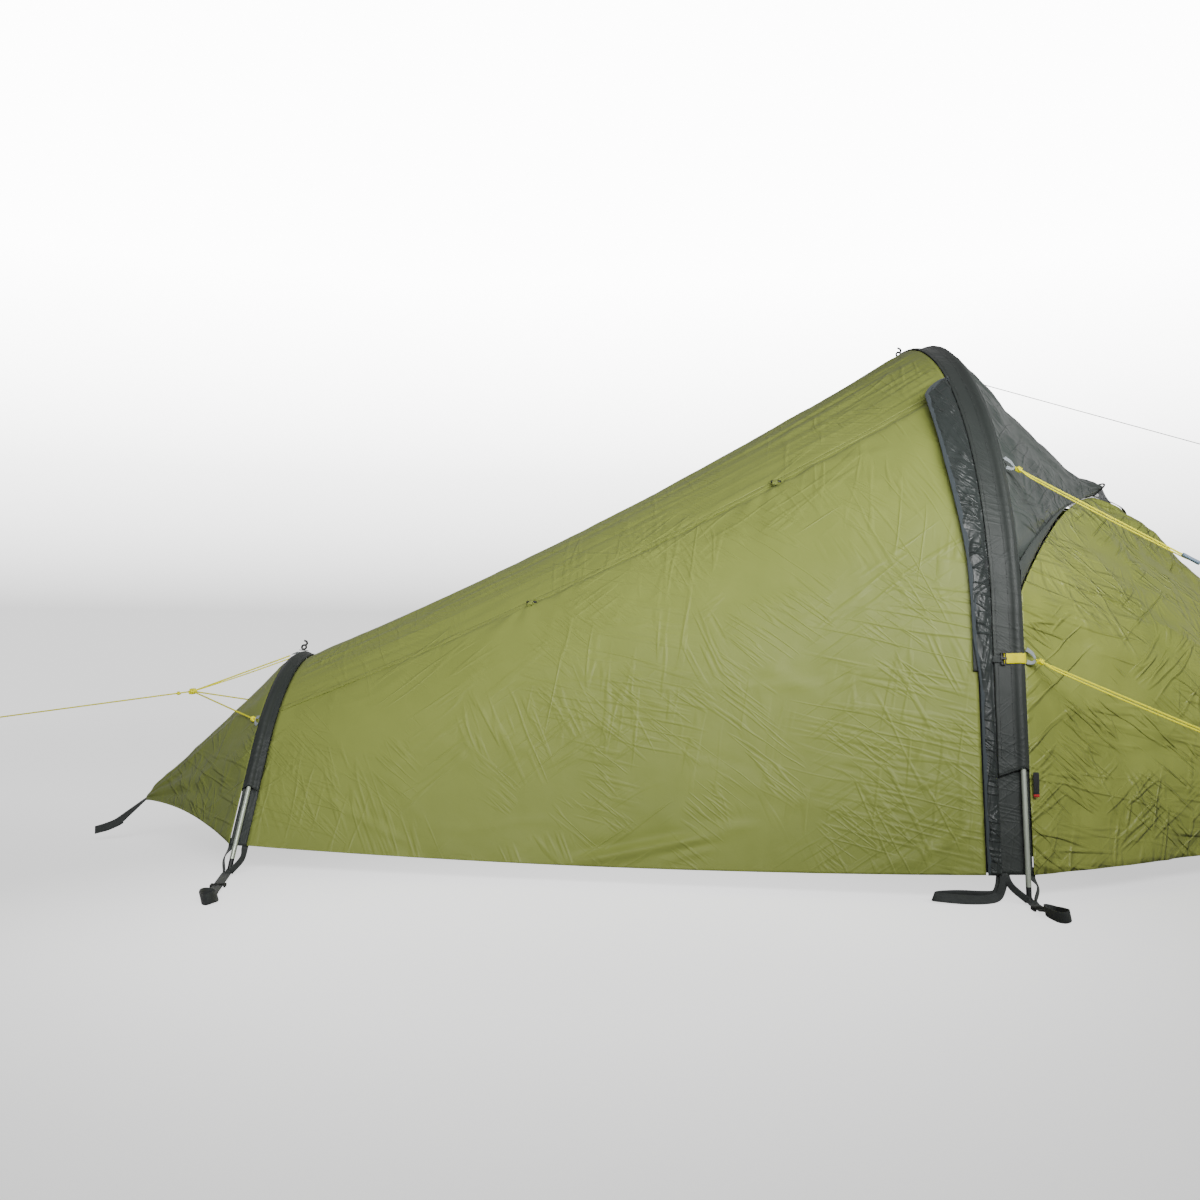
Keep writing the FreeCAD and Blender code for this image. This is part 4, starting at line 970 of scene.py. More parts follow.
# ---------------------------------------------------------------- storm flap over the zip
FLAP_LEFT = [(0.898, -0.0440), (0.893, -0.0560), (0.883, -0.0705), (0.871, -0.0840), (0.857, -0.0940),
             (0.829, -0.0945), (0.784, -0.0930), (0.722, -0.0906), (0.654, -0.0850), (0.596, -0.0790),
             (0.555, -0.0755), (0.486, -0.0736), (0.420, -0.0725), (0.372, -0.0660), (0.340, -0.0635),
             (0.200, -0.0640), (0.100, -0.0640), (HEM_FRONT, -0.0630)]
flap_runs = [front.run_at(z) for z, _ in FLAP_LEFT]
flap_edges = [dx for _, dx in FLAP_LEFT]
FLAP_RIGHT_DX = -0.0405
FLAP_SPACING = 1.25          # rows lie closer at the round top
flap_top, flap_end = flap_runs[0], flap_runs[-1]


def flap_left(run):
    return float(np.interp(run, flap_runs, flap_edges))


def flap_point(u, v):
    run = lerp(flap_top, flap_end, u ** FLAP_SPACING)
    dx = lerp(flap_left(run), FLAP_RIGHT_DX, v)
    crown = 0.0034 + 0.0030 * math.sin(math.pi * min(v * 1.1, 1.0)) - 0.0046 * smooth((v - 0.78) / 0.22)
    return front.at(run, NEAR, crown, dx)


def flap_lift(u, v, p):
    run = lerp(flap_top, flap_end, u ** FLAP_SPACING)
    inner = ends(v, 0.22, 0.05)
    upper = 1.0 - 0.55 * smooth((run - front.arc) / 0.2)
    folds = rough((run * 30 + v * 1.8, v * 1.3, 4.0), 1.0, 2.0, 3)
    sharp = ridge((run * 9 - v * 0.8, v * 0.9, 3.0), 1.0, 6.0)
    slot = math.exp(-((v - 0.86) / 0.10) ** 2) * smooth(rough((run * 7.0, 1.0, 2.0), 1.0, 8.0, 1) * 3.0)
    return inner * upper * (0.0030 * folds + 0.0016 * sharp) - 0.0030 * slot * inner


flap = surface("storm_flap_cloth", flap_point, 240, 30, FLAP, flap_lift, away=(0.2, 0, 0.1), body="door")
dress(flap, "sleeve_grey", "zip_storm_flap")
flap_u = list(np.linspace(0.0, 1.0, 230))
flap_edge_path = [(0.002, v) for v in np.linspace(0.96, 0.0, 12)] + [(u, 0.0) for u in flap_u[2:]]
edge_pts, edge_n = [], []
for u, v in flap_edge_path:
    run = lerp(flap_top, flap_end, u ** FLAP_SPACING)
    n = unit(front.out(run, NEAR))
    edge_n.append(n)
    edge_pts.append(flap_point(u, v) + n * 0.0008 + vec(0.0030, 0, 0) * (1 if v == 0 else 0.5))
flap_binding = ribbon("storm_flap_binding", edge_pts, edge_n, 0.0085, 0.0014, EDGE_BLUE, "door")
flap_stitch = stitches("storm_flap_stitch", [p + vec(0.0068, 0, 0) + n * 0.0010 for p,
                                             n in zip(edge_pts, edge_n)][14:],
                       edge_n[14:], THREAD_GREY, "door", 0.0045, 0.003)
tab_runs = [front.run_at(z) for z in np.linspace(0.419, 0.367, 12)]
flap_tab = ribbon("storm_flap_tab", [front.at(r, NEAR, 0.0012, -0.0672) for r in tab_runs],
                  [front.out(r, NEAR) for r in tab_runs], 0.0130, 0.0012, WEB, "door")

# ---------------------------------------------------------------- tail
CUFF_HALF, CUFF_RISE = 0.032, 0.014
TAIL_CUFF = (-1.378, 0.106)
PORCH_CUFF = (1.430, 0.070)


def cuff(place, share, side):
    a = share * math.pi / 2
    return vec(place[0], side * CUFF_HALF * math.sin(a), place[1] - CUFF_RISE + CUFF_RISE * math.cos(a))


def tail_point(t, v):
    _, side, s = split(v)
    p = lerp(rear.at(hem_r * s, side, FLY_OFF, REAR_BACK_DX), cuff(TAIL_CUFF, s, side), t)
    p[2] += 0.016 * 4 * t * (1 - t) * s ** 5
    p[1] -= side * 0.008 * 4 * t * (1 - t) * s
    return p


def tail_lift(t, v, p):
    share = 2 * v - 1
    rim = ends(t, 0.05, 0.06)
    folds = rough((t * 1.6, share * 8, 2.2), 1.0, 12.0, 2)
    return rim * (0.0052 * folds + 0.0016 * rough(p, 14.0, 6.0, 3) + 0.0012 * ridge(p, (6.0, 6.0, 7.0), 44.0))


TAIL_COLS = np.concatenate([np.linspace(0, 0.03, 7)[:-1], np.linspace(0.03, 0.97, 110)[:-1],
                            np.linspace(0.97, 1, 7)])
tail = surface("tail_cloth", tail_point, 70, TAIL_COLS, GREEN_TAIL_SHADED, tail_lift, away=(-1.2, 0, 0.1))
dress(tail, "fly_green", "fly_tail")

# ---------------------------------------------------------------- porch, hood and vent
vent_corner = vec(0.596, 0.104, 0.722)
vent_nose = vec(0.708, 0.0, 0.696)
HOOD_LOW = 0.505
HOOD_DIP, HOOD_DIP_AT = 0.026, 0.76
HOOD_EDGE_RISE = 0.040
leg_top_run = front.run_at(HOOD_LOW - 0.006)


def on_side(p, side):
    return vec(p[0], p[1] * side, p[2])


def hood_edge(k, side):
    """The hood's lower hem, k from the front leg to the vent's corner."""
    a = front.at(leg_top_run, side, FLY_OFF, FRONT_DX)
    p = lerp(a, on_side(vent_corner, side), k)
    p[2] += HOOD_EDGE_RISE * 4 * k * (1 - k)
    return p


def porch_row(s, side):
    """Upper edge of the porch from the hem (s 0) up the leg, along the hood's hem and the vent (s 1)."""
    if s < 0.44:
        return front.at(lerp(hem_f, leg_top_run, s / 0.44), side, FLY_OFF, FRONT_DX), lerp(1.0, 0.70,
                                                                                           s / 0.44)
    if s < 0.84:
        return hood_edge((s - 0.44) / 0.40, side) - vec(0, 0, 0.0015), lerp(0.70, 0.30, (s - 0.44) / 0.40)
    k = (s - 0.84) / 0.16
    p = lerp(on_side(vent_corner, side), vent_nose, k)
    p[0] += 0.018 * math.sin(math.pi * k)
    return p, lerp(0.30, 0.0, k)


PORCH_HALF = 78
PORCH_RIDGE_DIP = 0.004
PORCH_SPACING = 1.15         # rows lie closer at the hoop
porch_count = 2 * PORCH_HALF + 1
porch_rows = 130
porch_grid = np.zeros((porch_rows, porch_count, 3))
for j in range(porch_count):
    side = NEAR if j < PORCH_HALF else FAR
    s = 1 - abs(j - PORCH_HALF) / PORCH_HALF
    a, share = porch_row(s, side)
    b = cuff(PORCH_CUFF, share, side)
    for i in range(porch_rows):
        t = (i / (porch_rows - 1)) ** PORCH_SPACING
        porch_grid[i, j] = lerp(a, b, t)
        porch_grid[i, j, 2] -= PORCH_RIDGE_DIP * 4 * t * (1 - t) * (1 - s) ** 6
for i in range(porch_rows):
    t = (i / (porch_rows - 1)) ** PORCH_SPACING
    passes = int(14 * smooth(t / 0.22))
    row = porch_grid[i].copy()
    for _ in range(passes):
        row[1:-1] = row[1:-1] * 0.5 + (row[:-2] + row[2:]) * 0.25
    keep_hem = np.array([smooth((1 - abs(j - PORCH_HALF) / PORCH_HALF) / 0.12) for j in range(porch_count)])
    porch_grid[i] = porch_grid[i] * (1 - keep_hem[:, None]) + row * keep_hem[:, None]


def sample_grid(G, u, v):
    i, j = u * (G.shape[0] - 1), v * (G.shape[1] - 1)
    a, b = min(int(i), G.shape[0] - 2), min(int(j), G.shape[1] - 2)
    f, g = i - a, j - b
    return ((G[a, b] * (1 - g) + G[a, b + 1] * g) * (1 - f)
            + (G[a + 1, b] * (1 - g) + G[a + 1, b + 1] * g) * f)


PORCH_FOLDS = 2.3


def porch_lift(t, v, p):
    """A belly, folds that fan out from the porch tip, sharp creases, gathers at the hoop and crumple."""
    s = 1 - abs(v - 0.5) * 2
    rim = ends(t, 0.04, 0.05)
    belly = 0.014 * smooth(t / 0.35) * math.sin(math.pi * min(t * 1.1,
                                                              1.0)) * math.sin(math.pi * min(s * 1.15, 1.0))
    drift = 1.6 * rough((t * 2.4, v * 4, 6.0), 1.0, 2.0, 2)
    fan_folds = 0.0046 * rough((t * 1.8, v * 20 + drift, 1.0), 1.0, 15.0, 3)
    sharp = 0.0030 * ridge((t * 1.3, v * 9 + drift, 4.0), 1.0,
                           12.0) * smooth(rough((t * 3, v * 8, 1.0), 1.0, 4.0, 1) * 4)
    gather = 0.0052 * rough((t * 6, v * 34, 2.0), 1.0, 8.0, 2) * math.exp(-t * 7.0) * smooth((s - 0.25) / 0.2)
    crumple = 0.0024 * rough(p, 12.0, 3.0, 3) + 0.0018 * ridge(p, (5.0, 5.0, 7.0), 4.0)
    return rim * (belly + PORCH_FOLDS * (fan_folds + sharp + gather + crumple))


porch = surface("porch_cloth", lambda u, v: sample_grid(porch_grid, u, v), porch_rows, porch_count,
                GREEN_CRUMPLED, porch_lift, away=(0.6, 0, 0.1))
dress(porch, "fly_green", "porch_near", "porch_far")

MOUTH_BACK, MOUTH_PEAK, MOUTH_HALF = vec(0.591, 0, 0.722), vec(0.646, 0, 0.761), 0.104


def mouth(share, side, inset=0.0):
    a = share * math.pi / 2
    axis = MOUTH_PEAK - MOUTH_BACK
    rise = np.linalg.norm(axis) - inset
    return MOUTH_BACK + unit(axis) * (rise * math.cos(a)) + vec(0, side * (MOUTH_HALF - inset) * math.sin(a),
                                                                0)


def hood_point(t, v):
    _, side, s = split(v)
    f = front.at(front.run_at(HOOD_LOW) * s, side, -0.0008, FRONT_DX)
    p = lerp(f, mouth(s, side), t)
    dip = 0.032 * 4 * t * (1 - t) * smooth((t
                                          - 0.04) / 0.2) + HOOD_DIP * math.exp(-((t
                                                                                  - HOOD_DIP_AT) / 0.17) ** 2)
    p[2] += HOOD_EDGE_RISE * 4 * t * (1 - t) * s ** 6 - dip * (1 - s) ** 0.7
    return p


def hood_lift(t, v, p):
    """Long folds from hoop to mouth, crossed by short ones, and gathers where the hood meets the sleeve."""
    share = 2 * v - 1
    s = abs(share)
    rim = ends(t, 0.03, 0.05) * smooth((1 - s) / 0.02)
    long_folds = rough((t * 1.3, share * 13 + t * 1.5, 3.0), 1.0, 21.0, 2)
    cross = rough((t * 7.0, share * 5, 1.0), 1.0, 5.0, 3)
    start = rough((t * 4, share * 30, 7.0), 1.0, 2.0, 2) * math.exp(-t * 6.0)
    sharp = ridge((t * 2.0 - share, share * 6, 2.0), 1.0, 33.0) * smooth(rough((t * 4, share * 5, 3.0), 1.0,
                                                                               6.0, 1) * 4)
    return rim * (0.0070 * long_folds + 0.0030 * cross + 0.0040 * start + 0.0034 * sharp
                  - 0.004 * math.exp(-t * 16.0))


HOOD_COLS = np.concatenate([np.linspace(0, 0.10, 16)[:-1], np.linspace(0.10, 0.90, 110)[:-1],
                            np.linspace(0.90, 1, 16)])
hood = surface("hood_cloth", hood_point, 90, HOOD_COLS, HOOD, hood_lift, away=(0.3, 0, 0.2))
dress(hood, "hood_grey", "vent_hood")
for side, tag in ((NEAR, "near"), (FAR, "far")):
    def hem_point(u, v, side=side):
        s = 1 - v * 0.045
        return hood_point(u, 0.5 + 0.5 * side * s) + vec(0, side * 0.0012, 0.0012)
    strip_hem = surface("hood_hem_" + tag, hem_point, 90, 8, HOOD_HEM,
                        lambda u, v, p: 0.0016 * math.sin(math.pi * v)
                        + 0.0008 * rough((u * 30, v * 2, 1.0), 1.0, 3.0), away=(0.3, 0, 0.2))
    for k, v in enumerate((0.12, 0.9)):
        path = [hem_point(u, v) + vec(0, side * 0.0012, 0.0010) for u in np.linspace(0.02, 0.98, 120)]
        stitches("hood_hem_stitch_%s_%d" % (tag, k), path, vec(0, side, 1), THREAD_GREY,
                                  pitch=0.006, length=0.004)

# ---------------------------------------------------------------- vent mouth: mesh, stiffener, small ties
mesh_top_shares = np.linspace(-0.72, 0.72, 41)


def mesh_point(u, v):
    s = mesh_top_shares[0] + (mesh_top_shares[-1] - mesh_top_shares[0]) * u
    side = NEAR if s < 0 else FAR
    top = mouth(abs(s), side, 0.003) - vec(0, 0, 0.0025)
    low = lerp(on_side(vent_nose, side), on_side(vent_corner, side), abs(s)) + vec(-0.006, 0, 0.003)
    return lerp(top, low, v)


vent_net = surface("vent_net", mesh_point, 60, 24, NET, lambda u, v,
                   p: 0.002 * rough((u * 6, v * 4, 2), 1.0) * math.sin(
    math.pi * v), away=(0.4, 0, 0.6), thick=0.0)
dress(vent_net, "mesh_black", "vent_mesh")
arch = [mouth(abs(s), NEAR if s < 0 else FAR) + vec(0.0035, 0, 0.001) for s in np.linspace(-0.97, 0.97, 61)]
stiffener = tube("vent_stiffener_rim", arch, 0.0019, BLACK, sides=8)
dress(stiffener, "plastic_black", "vent_stiffener")
for side, tag in ((NEAR, "near"), (FAR, "far")):
    rim = [lerp(on_side(vent_corner, side), vent_nose, k) + vec(0.018 * math.sin(math.pi * k) + 0.001, 0,
                                                                0.0025)
           for k in np.linspace(0.0, 1.0, 24)]
    edge_rim = ribbon("vent_lip_" + tag, rim, vec(0.3, side * 0.5, 1.0), 0.007, 0.0016, WEB)
    corner = on_side(vec(0.589, 0.1035, 0.7115), side)
    for k, drop in enumerate((vec(-0.010, 0.004 * side, -0.022), vec(0.003, 0.005 * side, -0.026))):
        tie_path = spline_points([corner, corner + drop * 0.5 + vec(-0.003, side * 0.004, 0), corner + drop],
                                 10)
        tie = tube("vent_tie_%s_%d" % (tag, k), tie_path, 0.0011, WEB_TAPE, sides=6)

# ---------------------------------------------------------------- zip: tapes, coil teeth and sliders
zip_top_run, zip_low_run = front.run_at(0.812), front.run_at(HEM_FRONT + 0.004)
zip_runs = np.linspace(zip_top_run, zip_low_run, 120)
zip_normals = [front.out(r, NEAR) for r in zip_runs]


def zip_side(name, node, tape_dx, coil_dx, body):
    mid, width = (tape_dx[0] + tape_dx[1]) / 2, abs(tape_dx[1] - tape_dx[0])
    tape = ribbon(name, [front.at(r, NEAR, -0.0024, mid) for r in zip_runs], zip_normals, width, 0.0008, ZIP,
                  body)
    teeth = stitches(name + "_coil", [front.at(r, NEAR, -0.0022, coil_dx) for r in zip_runs], zip_normals,
                     SLIDER, body, pitch=0.0022, length=0.0015, radius=0.0010)
    for o in (tape, teeth):
        dress(o, "zip_black", node)


zip_side("zip_door_tape", "zip_tape_door", (-0.0654, -0.0560), -0.0550, "door")
zip_side("zip_fixed_tape", "zip_tape_fixed", (-0.0508, -0.0406), -0.0518, TENT)


def block(name, origin, x_dir, up, sx, sy, sz, mat, body, bevel=0.0006, taper=1.0):
    """Rounded plate: half sizes along x_dir, across and up; taper narrows the far end."""
    x = unit(x_dir)
    y = unit(np.cross(up, x))
    z = np.cross(x, y)
    verts = []
    for dz in (-sz, sz):
        for dx, dy in ((-sx, -sy), (sx, -sy * taper), (sx, sy * taper), (-sx, sy)):
            verts.append(origin + x * dx + y * dy + z * dz)
    faces = [(0, 3, 2, 1), (4, 5, 6, 7), (0, 1, 5, 4), (1, 2, 6, 5), (2, 3, 7, 6), (3, 0, 4, 7)]
    o = new_object(name, verts, faces, mat, body, shade=False)
    return bevelled(o, bevel)


def slider_piece(name, run, down):
    n = unit(front.out(run, NEAR))
    along_dir = front.down(run, NEAR) * (1 if down else -1)
    at = front.at(run + 0.007, NEAR, -0.0003, -0.0487)
    plate = block(name, at, along_dir, n, 0.0070, 0.0046, 0.0006, SLIDER, name, 0.0005, 0.72)
    bridge_path = [at - along_dir * 0.004 + n * 0.0006, at - along_dir * 0.002 + n * 0.0012,
                   at + along_dir * 0.002 + n * 0.0012, at + along_dir * 0.004 + n * 0.0006]
    bridge = ribbon(name + "_bridge", spline_points(bridge_path, 8), n, 0.0022, 0.0006, SLIDER, name)
    pull = ribbon(name + "_pull", [at + along_dir * k + n * 0.0013 for k in (0.004, 0.012, 0.024)], n, 0.0040,
                  0.0008, CORD_GREY, name)
    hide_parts(name)


LOWER_SLIDER_Z, UPPER_SLIDER_BACK = 0.090, 0.030
slider_piece("zip_slider_lower", front.run_at(LOWER_SLIDER_Z), True)
slider_piece("zip_slider_upper", zip_top_run + UPPER_SLIDER_BACK, False)

# ---------------------------------------------------------------- webbing at the feet, hem and ends
WEB_THICK = 0.0015
FOOT = {
    "front": (front, (-0.0320, 0.0095), HEM_FRONT, vec(0.256, -0.778, 0), vec(0.15, -1, 0)),
    "rear": (rear, (-0.0095, 0.0160), HEM_REAR, vec(-1.046, -0.645, 0), vec(0.25, -1, 0)),
}


def mirrored(points, side):
    return [vec(p[0], p[1] * (1 if side == NEAR else -1), p[2]) for p in points]


LOOP_TWIST = 0.25


def web_loop(name, centre, direction, length, width, height, base_z, side):
    """Webbing loop on edge: a long eye drawn as one ribbon that closes on itself."""
    d = unit(direction)
    c = vec(-d[1], d[0], 0)
    half, r = length / 2 - width / 2, width / 2 - 0.0008
    pts, nrm = [], []
    for k in range(49):
        a = math.pi + 2 * math.pi * k / 48
        swell = 1.0 - 0.35 * math.cos(a)
        p = centre + d * (half * math.copysign(abs(math.cos(a)) ** 0.6, math.cos(a)) + r * 0.9 * math.cos(a))
        p = p + c * (r * math.sin(a) * (0.55 + 0.45 * swell))
        tilt = LOOP_TWIST * math.sin(a)
        rise = base_z + height / 2 + 0.0015 * math.sin(a * 2)
        pts.append(vec(p[0], p[1], rise))
        out = d * math.cos(a) + c * math.sin(a)
        nrm.append(vec(out[0], out[1], tilt))
    pts, nrm = mirrored(pts, side), mirrored(nrm, side)
    return ribbon(name, pts, nrm, height, WEB_THICK, WEB)


for tag, (hoop, (dx_a, dx_b), hem_z, loop_at, loop_dir) in FOOT.items():
    tip = hoop.at(hoop.run_at(0.006), NEAR)
    root = vec(tip[0], tip[1] - 0.012, 0.007)
    for side, word in ((NEAR, "near"), (FAR, "far")):
        straps = []
        for k, (dx, spread) in enumerate(((dx_a, -0.0120), (dx_b, 0.0130))):
            top = hoop.at(hoop.run_at(hem_z + 0.012), NEAR, -0.0074, dx)
            low_top = hoop.at(hoop.run_at(hem_z - 0.004), NEAR, -0.0078, dx)
            end = root + vec(spread * 0.45, 0.001, 0.0)
            mid = lerp(low_top, end, 0.5) + vec(spread * 0.55, 0.001, 0.0015)
            path = spline_points([top, low_top, mid, end], 20)
            fade = [unit(lerp(vec(-0.2 * (1 if k else -1), -1.0, 0.2), vec(1.0 if k else -1.0, -0.55, 0.25),
                              smooth(q / 14))) for q in range(len(path))]
            straps.append(ribbon("%s_foot_strap_%s_%d" % (tag, word, k), mirrored(path, side),
                                 mirrored(fade, side), 0.0115, WEB_THICK, WEB))
        strap = joined(straps, "%s_foot_straps_%s" % (tag, word))
        dress(strap, "webbing_dark", "foot_straps")
        d = unit(loop_dir)
        near_end = loop_at - d * 0.0286
        a = vec(root[0], root[1] + 0.004, 0.0072)
        b = vec(root[0], root[1] - 0.010, 0.0034)
        c = lerp(b, vec(near_end[0], near_end[1], 0.003), 0.6) + vec(0, 0, 0.0002)
        e = vec(near_end[0], near_end[1], 0.0040)
        path = [a, b, lerp(b, c, 0.5), c, e]
        path = spline_points(path, 40)
        ups = [unit(vec(0.0, 0.0, 1.0) + vec(0.55, 0, 0) * smooth((q - 34) / 6)) for q in range(len(path))]
        run = ribbon("%s_peg_strap_%s" % (tag, word), mirrored(path, side), mirrored(ups, side), 0.0172,
                     WEB_THICK, WEB)
        eye = web_loop("%s_peg_eye_%s" % (tag, word), loop_at, loop_dir, 0.058, 0.026, 0.017, 0.0006, side)
        peg_loop = joined([run, eye], "%s_peg_loop_%s" % (tag, word))
        dress(peg_loop, "webbing_dark", tag + "_peg_loops")

# hem loops behind the front feet: a tab from the hem, then a loop that lies half twisted
for side, word in ((NEAR, "near"), (FAR, "far")):
    path = [vec(0.2185, -0.6520, 0.0460), vec(0.2165, -0.6500, 0.0250), vec(0.2080, -0.6500, 0.0095),
            vec(0.1850, -0.6590, 0.0062), vec(0.1500, -0.6635, 0.0075), vec(0.1180, -0.6590, 0.0095),
            vec(0.1065, -0.6500, 0.0100), vec(0.1180, -0.6410, 0.0105), vec(0.1500, -0.6390, 0.0110),
            vec(0.1850, -0.6440, 0.0105), vec(0.2040, -0.6470, 0.0125), vec(0.2110, -0.6480, 0.0250),
            vec(0.2130, -0.6505, 0.0455)]
    ups = [vec(0.3, -1, 0), vec(0.3, -1, 0.1), vec(0.3, -0.9, 0.5), vec(0.0, -0.8, 0.6), vec(0, -0.9, 0.5),
           vec(-0.5, -0.8, 0.5), vec(-1, 0, 0.35), vec(-0.5, 0.8, 0.3), vec(0, 1, 0.25), vec(0, 1, 0.2),
           vec(-0.2, 1, 0.1), vec(-0.3, 1, 0), vec(-0.3, 1, 0)]
    dense = spline_points(path, 72)
    dense_up = spline_points(ups, 72)
    hem_eye = ribbon("hem_loop_" + word, mirrored(dense, side), mirrored(dense_up, side), 0.0150, WEB_THICK,
                     WEB)
    dress(hem_eye, "webbing_dark", "hem_loops")

# tail and porch tip straps: flat at the cloth, turning on edge into a folded end loop
for word, place, sign, high in (("tail", TAIL_CUFF, -1, 0.012), ("porch", PORCH_CUFF, 1, 0.0)):
    x0, z0 = place
    x_end = sign * 1.4955
    knee = vec(sign * 1.449, -0.0012, 0.0300 + high)
    path = [vec(x0 - sign * 0.020, 0, z0 - 0.001), vec(x0, 0, z0 - 0.007),
            lerp(vec(x0, 0, z0 - 0.007), knee, 0.6), knee,
            vec(sign * 1.472, -0.0024, 0.0200 + high), vec(x_end - sign * 0.003, -0.0022, 0.0140 + high),
            vec(x_end, 0.0, 0.0132 + high), vec(x_end - sign * 0.003, 0.0022, 0.0140 + high),
            vec(sign * 1.472, 0.0026, 0.0195 + high), vec(sign * 1.449, 0.0016, 0.0295 + high),
            vec(sign * 1.440, 0.0004, 0.0350 + high)]
    ups = [vec(0, -0.15, 1), vec(0, -0.2, 1), vec(0, -0.7, 0.7), vec(0, -1, 0.25), vec(0, -1, 0),
           vec(sign * 0.7, -0.7, 0),
           vec(sign, 0, 0), vec(sign * 0.7, 0.7, 0), vec(0, 1, 0), vec(0, 1, -0.1), vec(0, 1, -0.2)]
    dense, dense_up = spline_points(path, 70), spline_points(ups, 70)
    widths = [lerp(0.011, 0.0165, smooth(k / 24)) for k in range(len(dense))]
    end_loop_web = ribbon(word + "_strap", dense, dense_up, 0.0165, WEB_THICK, WEB, widths=widths)
    dress(end_loop_web, "webbing_dark", "end_straps")

# ---------------------------------------------------------------- ladder locks
LOCKS = {"front": (vec(0.25338, -0.71462, 0.003), vec(-0.046148, -0.998935, 0)),
         "rear": (vec(-1.07121, -0.51710, 0.003), vec(0.179458, -0.983766, 0))}
for tag, (centre, run) in LOCKS.items():
    for side, word in ((NEAR, "near"), (FAR, "far")):
        body = "%s_lock_%s" % (tag, word)
        c = mirrored([centre], side)[0]
        r = mirrored([run], side)[0]
        across = unit(np.cross(vec(0, 0, 1), r))
        up = vec(0, 0, 1)
        bits = []
        for k in (-1, 1):
            bits.append(block(body + "_rail_%d" % k, c + across * (k * 0.0113), r, up, 0.0100, 0.0017, 0.0024,
                              BLACK, body, 0.0008))
        for x, lift in ((-0.0088, 0.0012), (0.0, 0.0016), (0.0088, 0.0012)):
            bits.append(block(body + "_bar_%d" % int(x * 1e4), c + r * x + up * lift, r, up, 0.0013, 0.0100,
                              0.0010, BLACK, body, 0.0006))
        for k in range(-2, 3):
            bits.append(block(body + "_grip_%d" % k, c + r * 0.0092 + across * (k * 0.0032) + up * 0.0024, r,
                              up, 0.0010, 0.0006, 0.0004, BLACK, body, 0.0002))
        lock = joined(applied(bits, "bevel"), "ladder_lock_%s_%s" % (tag, word))
        dress(lock, "plastic_black", "%s_ladder_lock_%s" % (tag, word))

# ---------------------------------------------------------------- line tensioners: waisted sleeves on the line
TENSIONERS = {
    "front_upper": (vec(0.53472, -0.63772, 0.54858), vec(0.80643, -0.27885, -0.52146)),
    "front_lower": (vec(0.54909, -0.73487, 0.25615), vec(0.85486, -0.31598, -0.41155)),
}
TENSION_PROFILE = [(-0.0150, 0.0046, 0.0028), (-0.0146, 0.0054, 0.0033), (-0.0120, 0.0060, 0.0035),
                   (-0.0060, 0.0052, 0.0033),
                   (0.0, 0.0048, 0.0032), (0.0060, 0.0052, 0.0033), (0.0120, 0.0060, 0.0035),
                   (0.0146, 0.0054, 0.0033),
                   (0.0150, 0.0046, 0.0028), (0.0146, 0.0024, 0.0022), (0.0100, 0.0021, 0.0020),
                   (0.0, 0.0021, 0.0020), (-0.0100, 0.0021, 0.0020), (-0.0146, 0.0024, 0.0022)]


def tension_lock(name, centre, direction, node):
    """A waisted sleeve turned along the line, with a bore through it."""
    d = unit(direction)
    y = unit(np.cross(vec(0, 0, 1), d))
    z = np.cross(d, y)
    rows = []
    for x, w, h in TENSION_PROFILE:
        ring = []
        for k in range(28):
            a = 2 * math.pi * k / 28
            ca, sa = math.cos(a), math.sin(a)
            ring.append(centre + d * x + y * (w * math.copysign(abs(ca) ** 0.8, ca))
                        + z * (h * math.copysign(abs(sa) ** 0.8, sa)))
        rows.append(ring)
    rows.append(rows[0])
    o = closed_grid(name, rows, BLUE, node)
    bm = bmesh.new()
    bm.from_mesh(o.data)
    bmesh.ops.remove_doubles(bm, verts=bm.verts, dist=1e-6)
    bmesh.ops.recalc_face_normals(bm, faces=bm.faces)
    bm.to_mesh(o.data)
    bm.free()
    dress(o, "plastic_blue", node)


for level, (centre, d) in TENSIONERS.items():
    for side, word in ((NEAR, "near"), (FAR, "far")):
        node_name = "tensioner_%s_%s" % (level, word)
        tension_lock("line_lock_%s_%s" % (level, word), mirrored([centre], side)[0], mirrored([d], side)[0],
                     node_name)
tension_lock("line_lock_rear", vec(-1.73008, 0, 0.26042), vec(-0.991098, 0, -0.133133), "tensioner_rear")


# ---------------------------------------------------------------- bands with a hook, label, toggles, apex hooks
def wrap(name, hoop, run, section, width, thick, mat, side):
    """Band across a sleeve, following a section of (dx, off) at one place on the hoop."""
    pts = [hoop.at(run, side, off, dx) for dx, off in section]
    down = unit(hoop.at(run + 0.01, side) - hoop.at(run, side))
    nrm = []
    centre = hoop.at(run, side, -0.01, 0)
    for i in range(len(pts)):
        t = unit(pts[min(i + 1, len(pts) - 1)] - pts[max(i - 1, 0)])
        n = np.cross(t, down)
        nrm.append(n if np.dot(n, pts[i] - centre) > 0 else -n)
    return ribbon(name, pts, nrm, width, thick, mat)


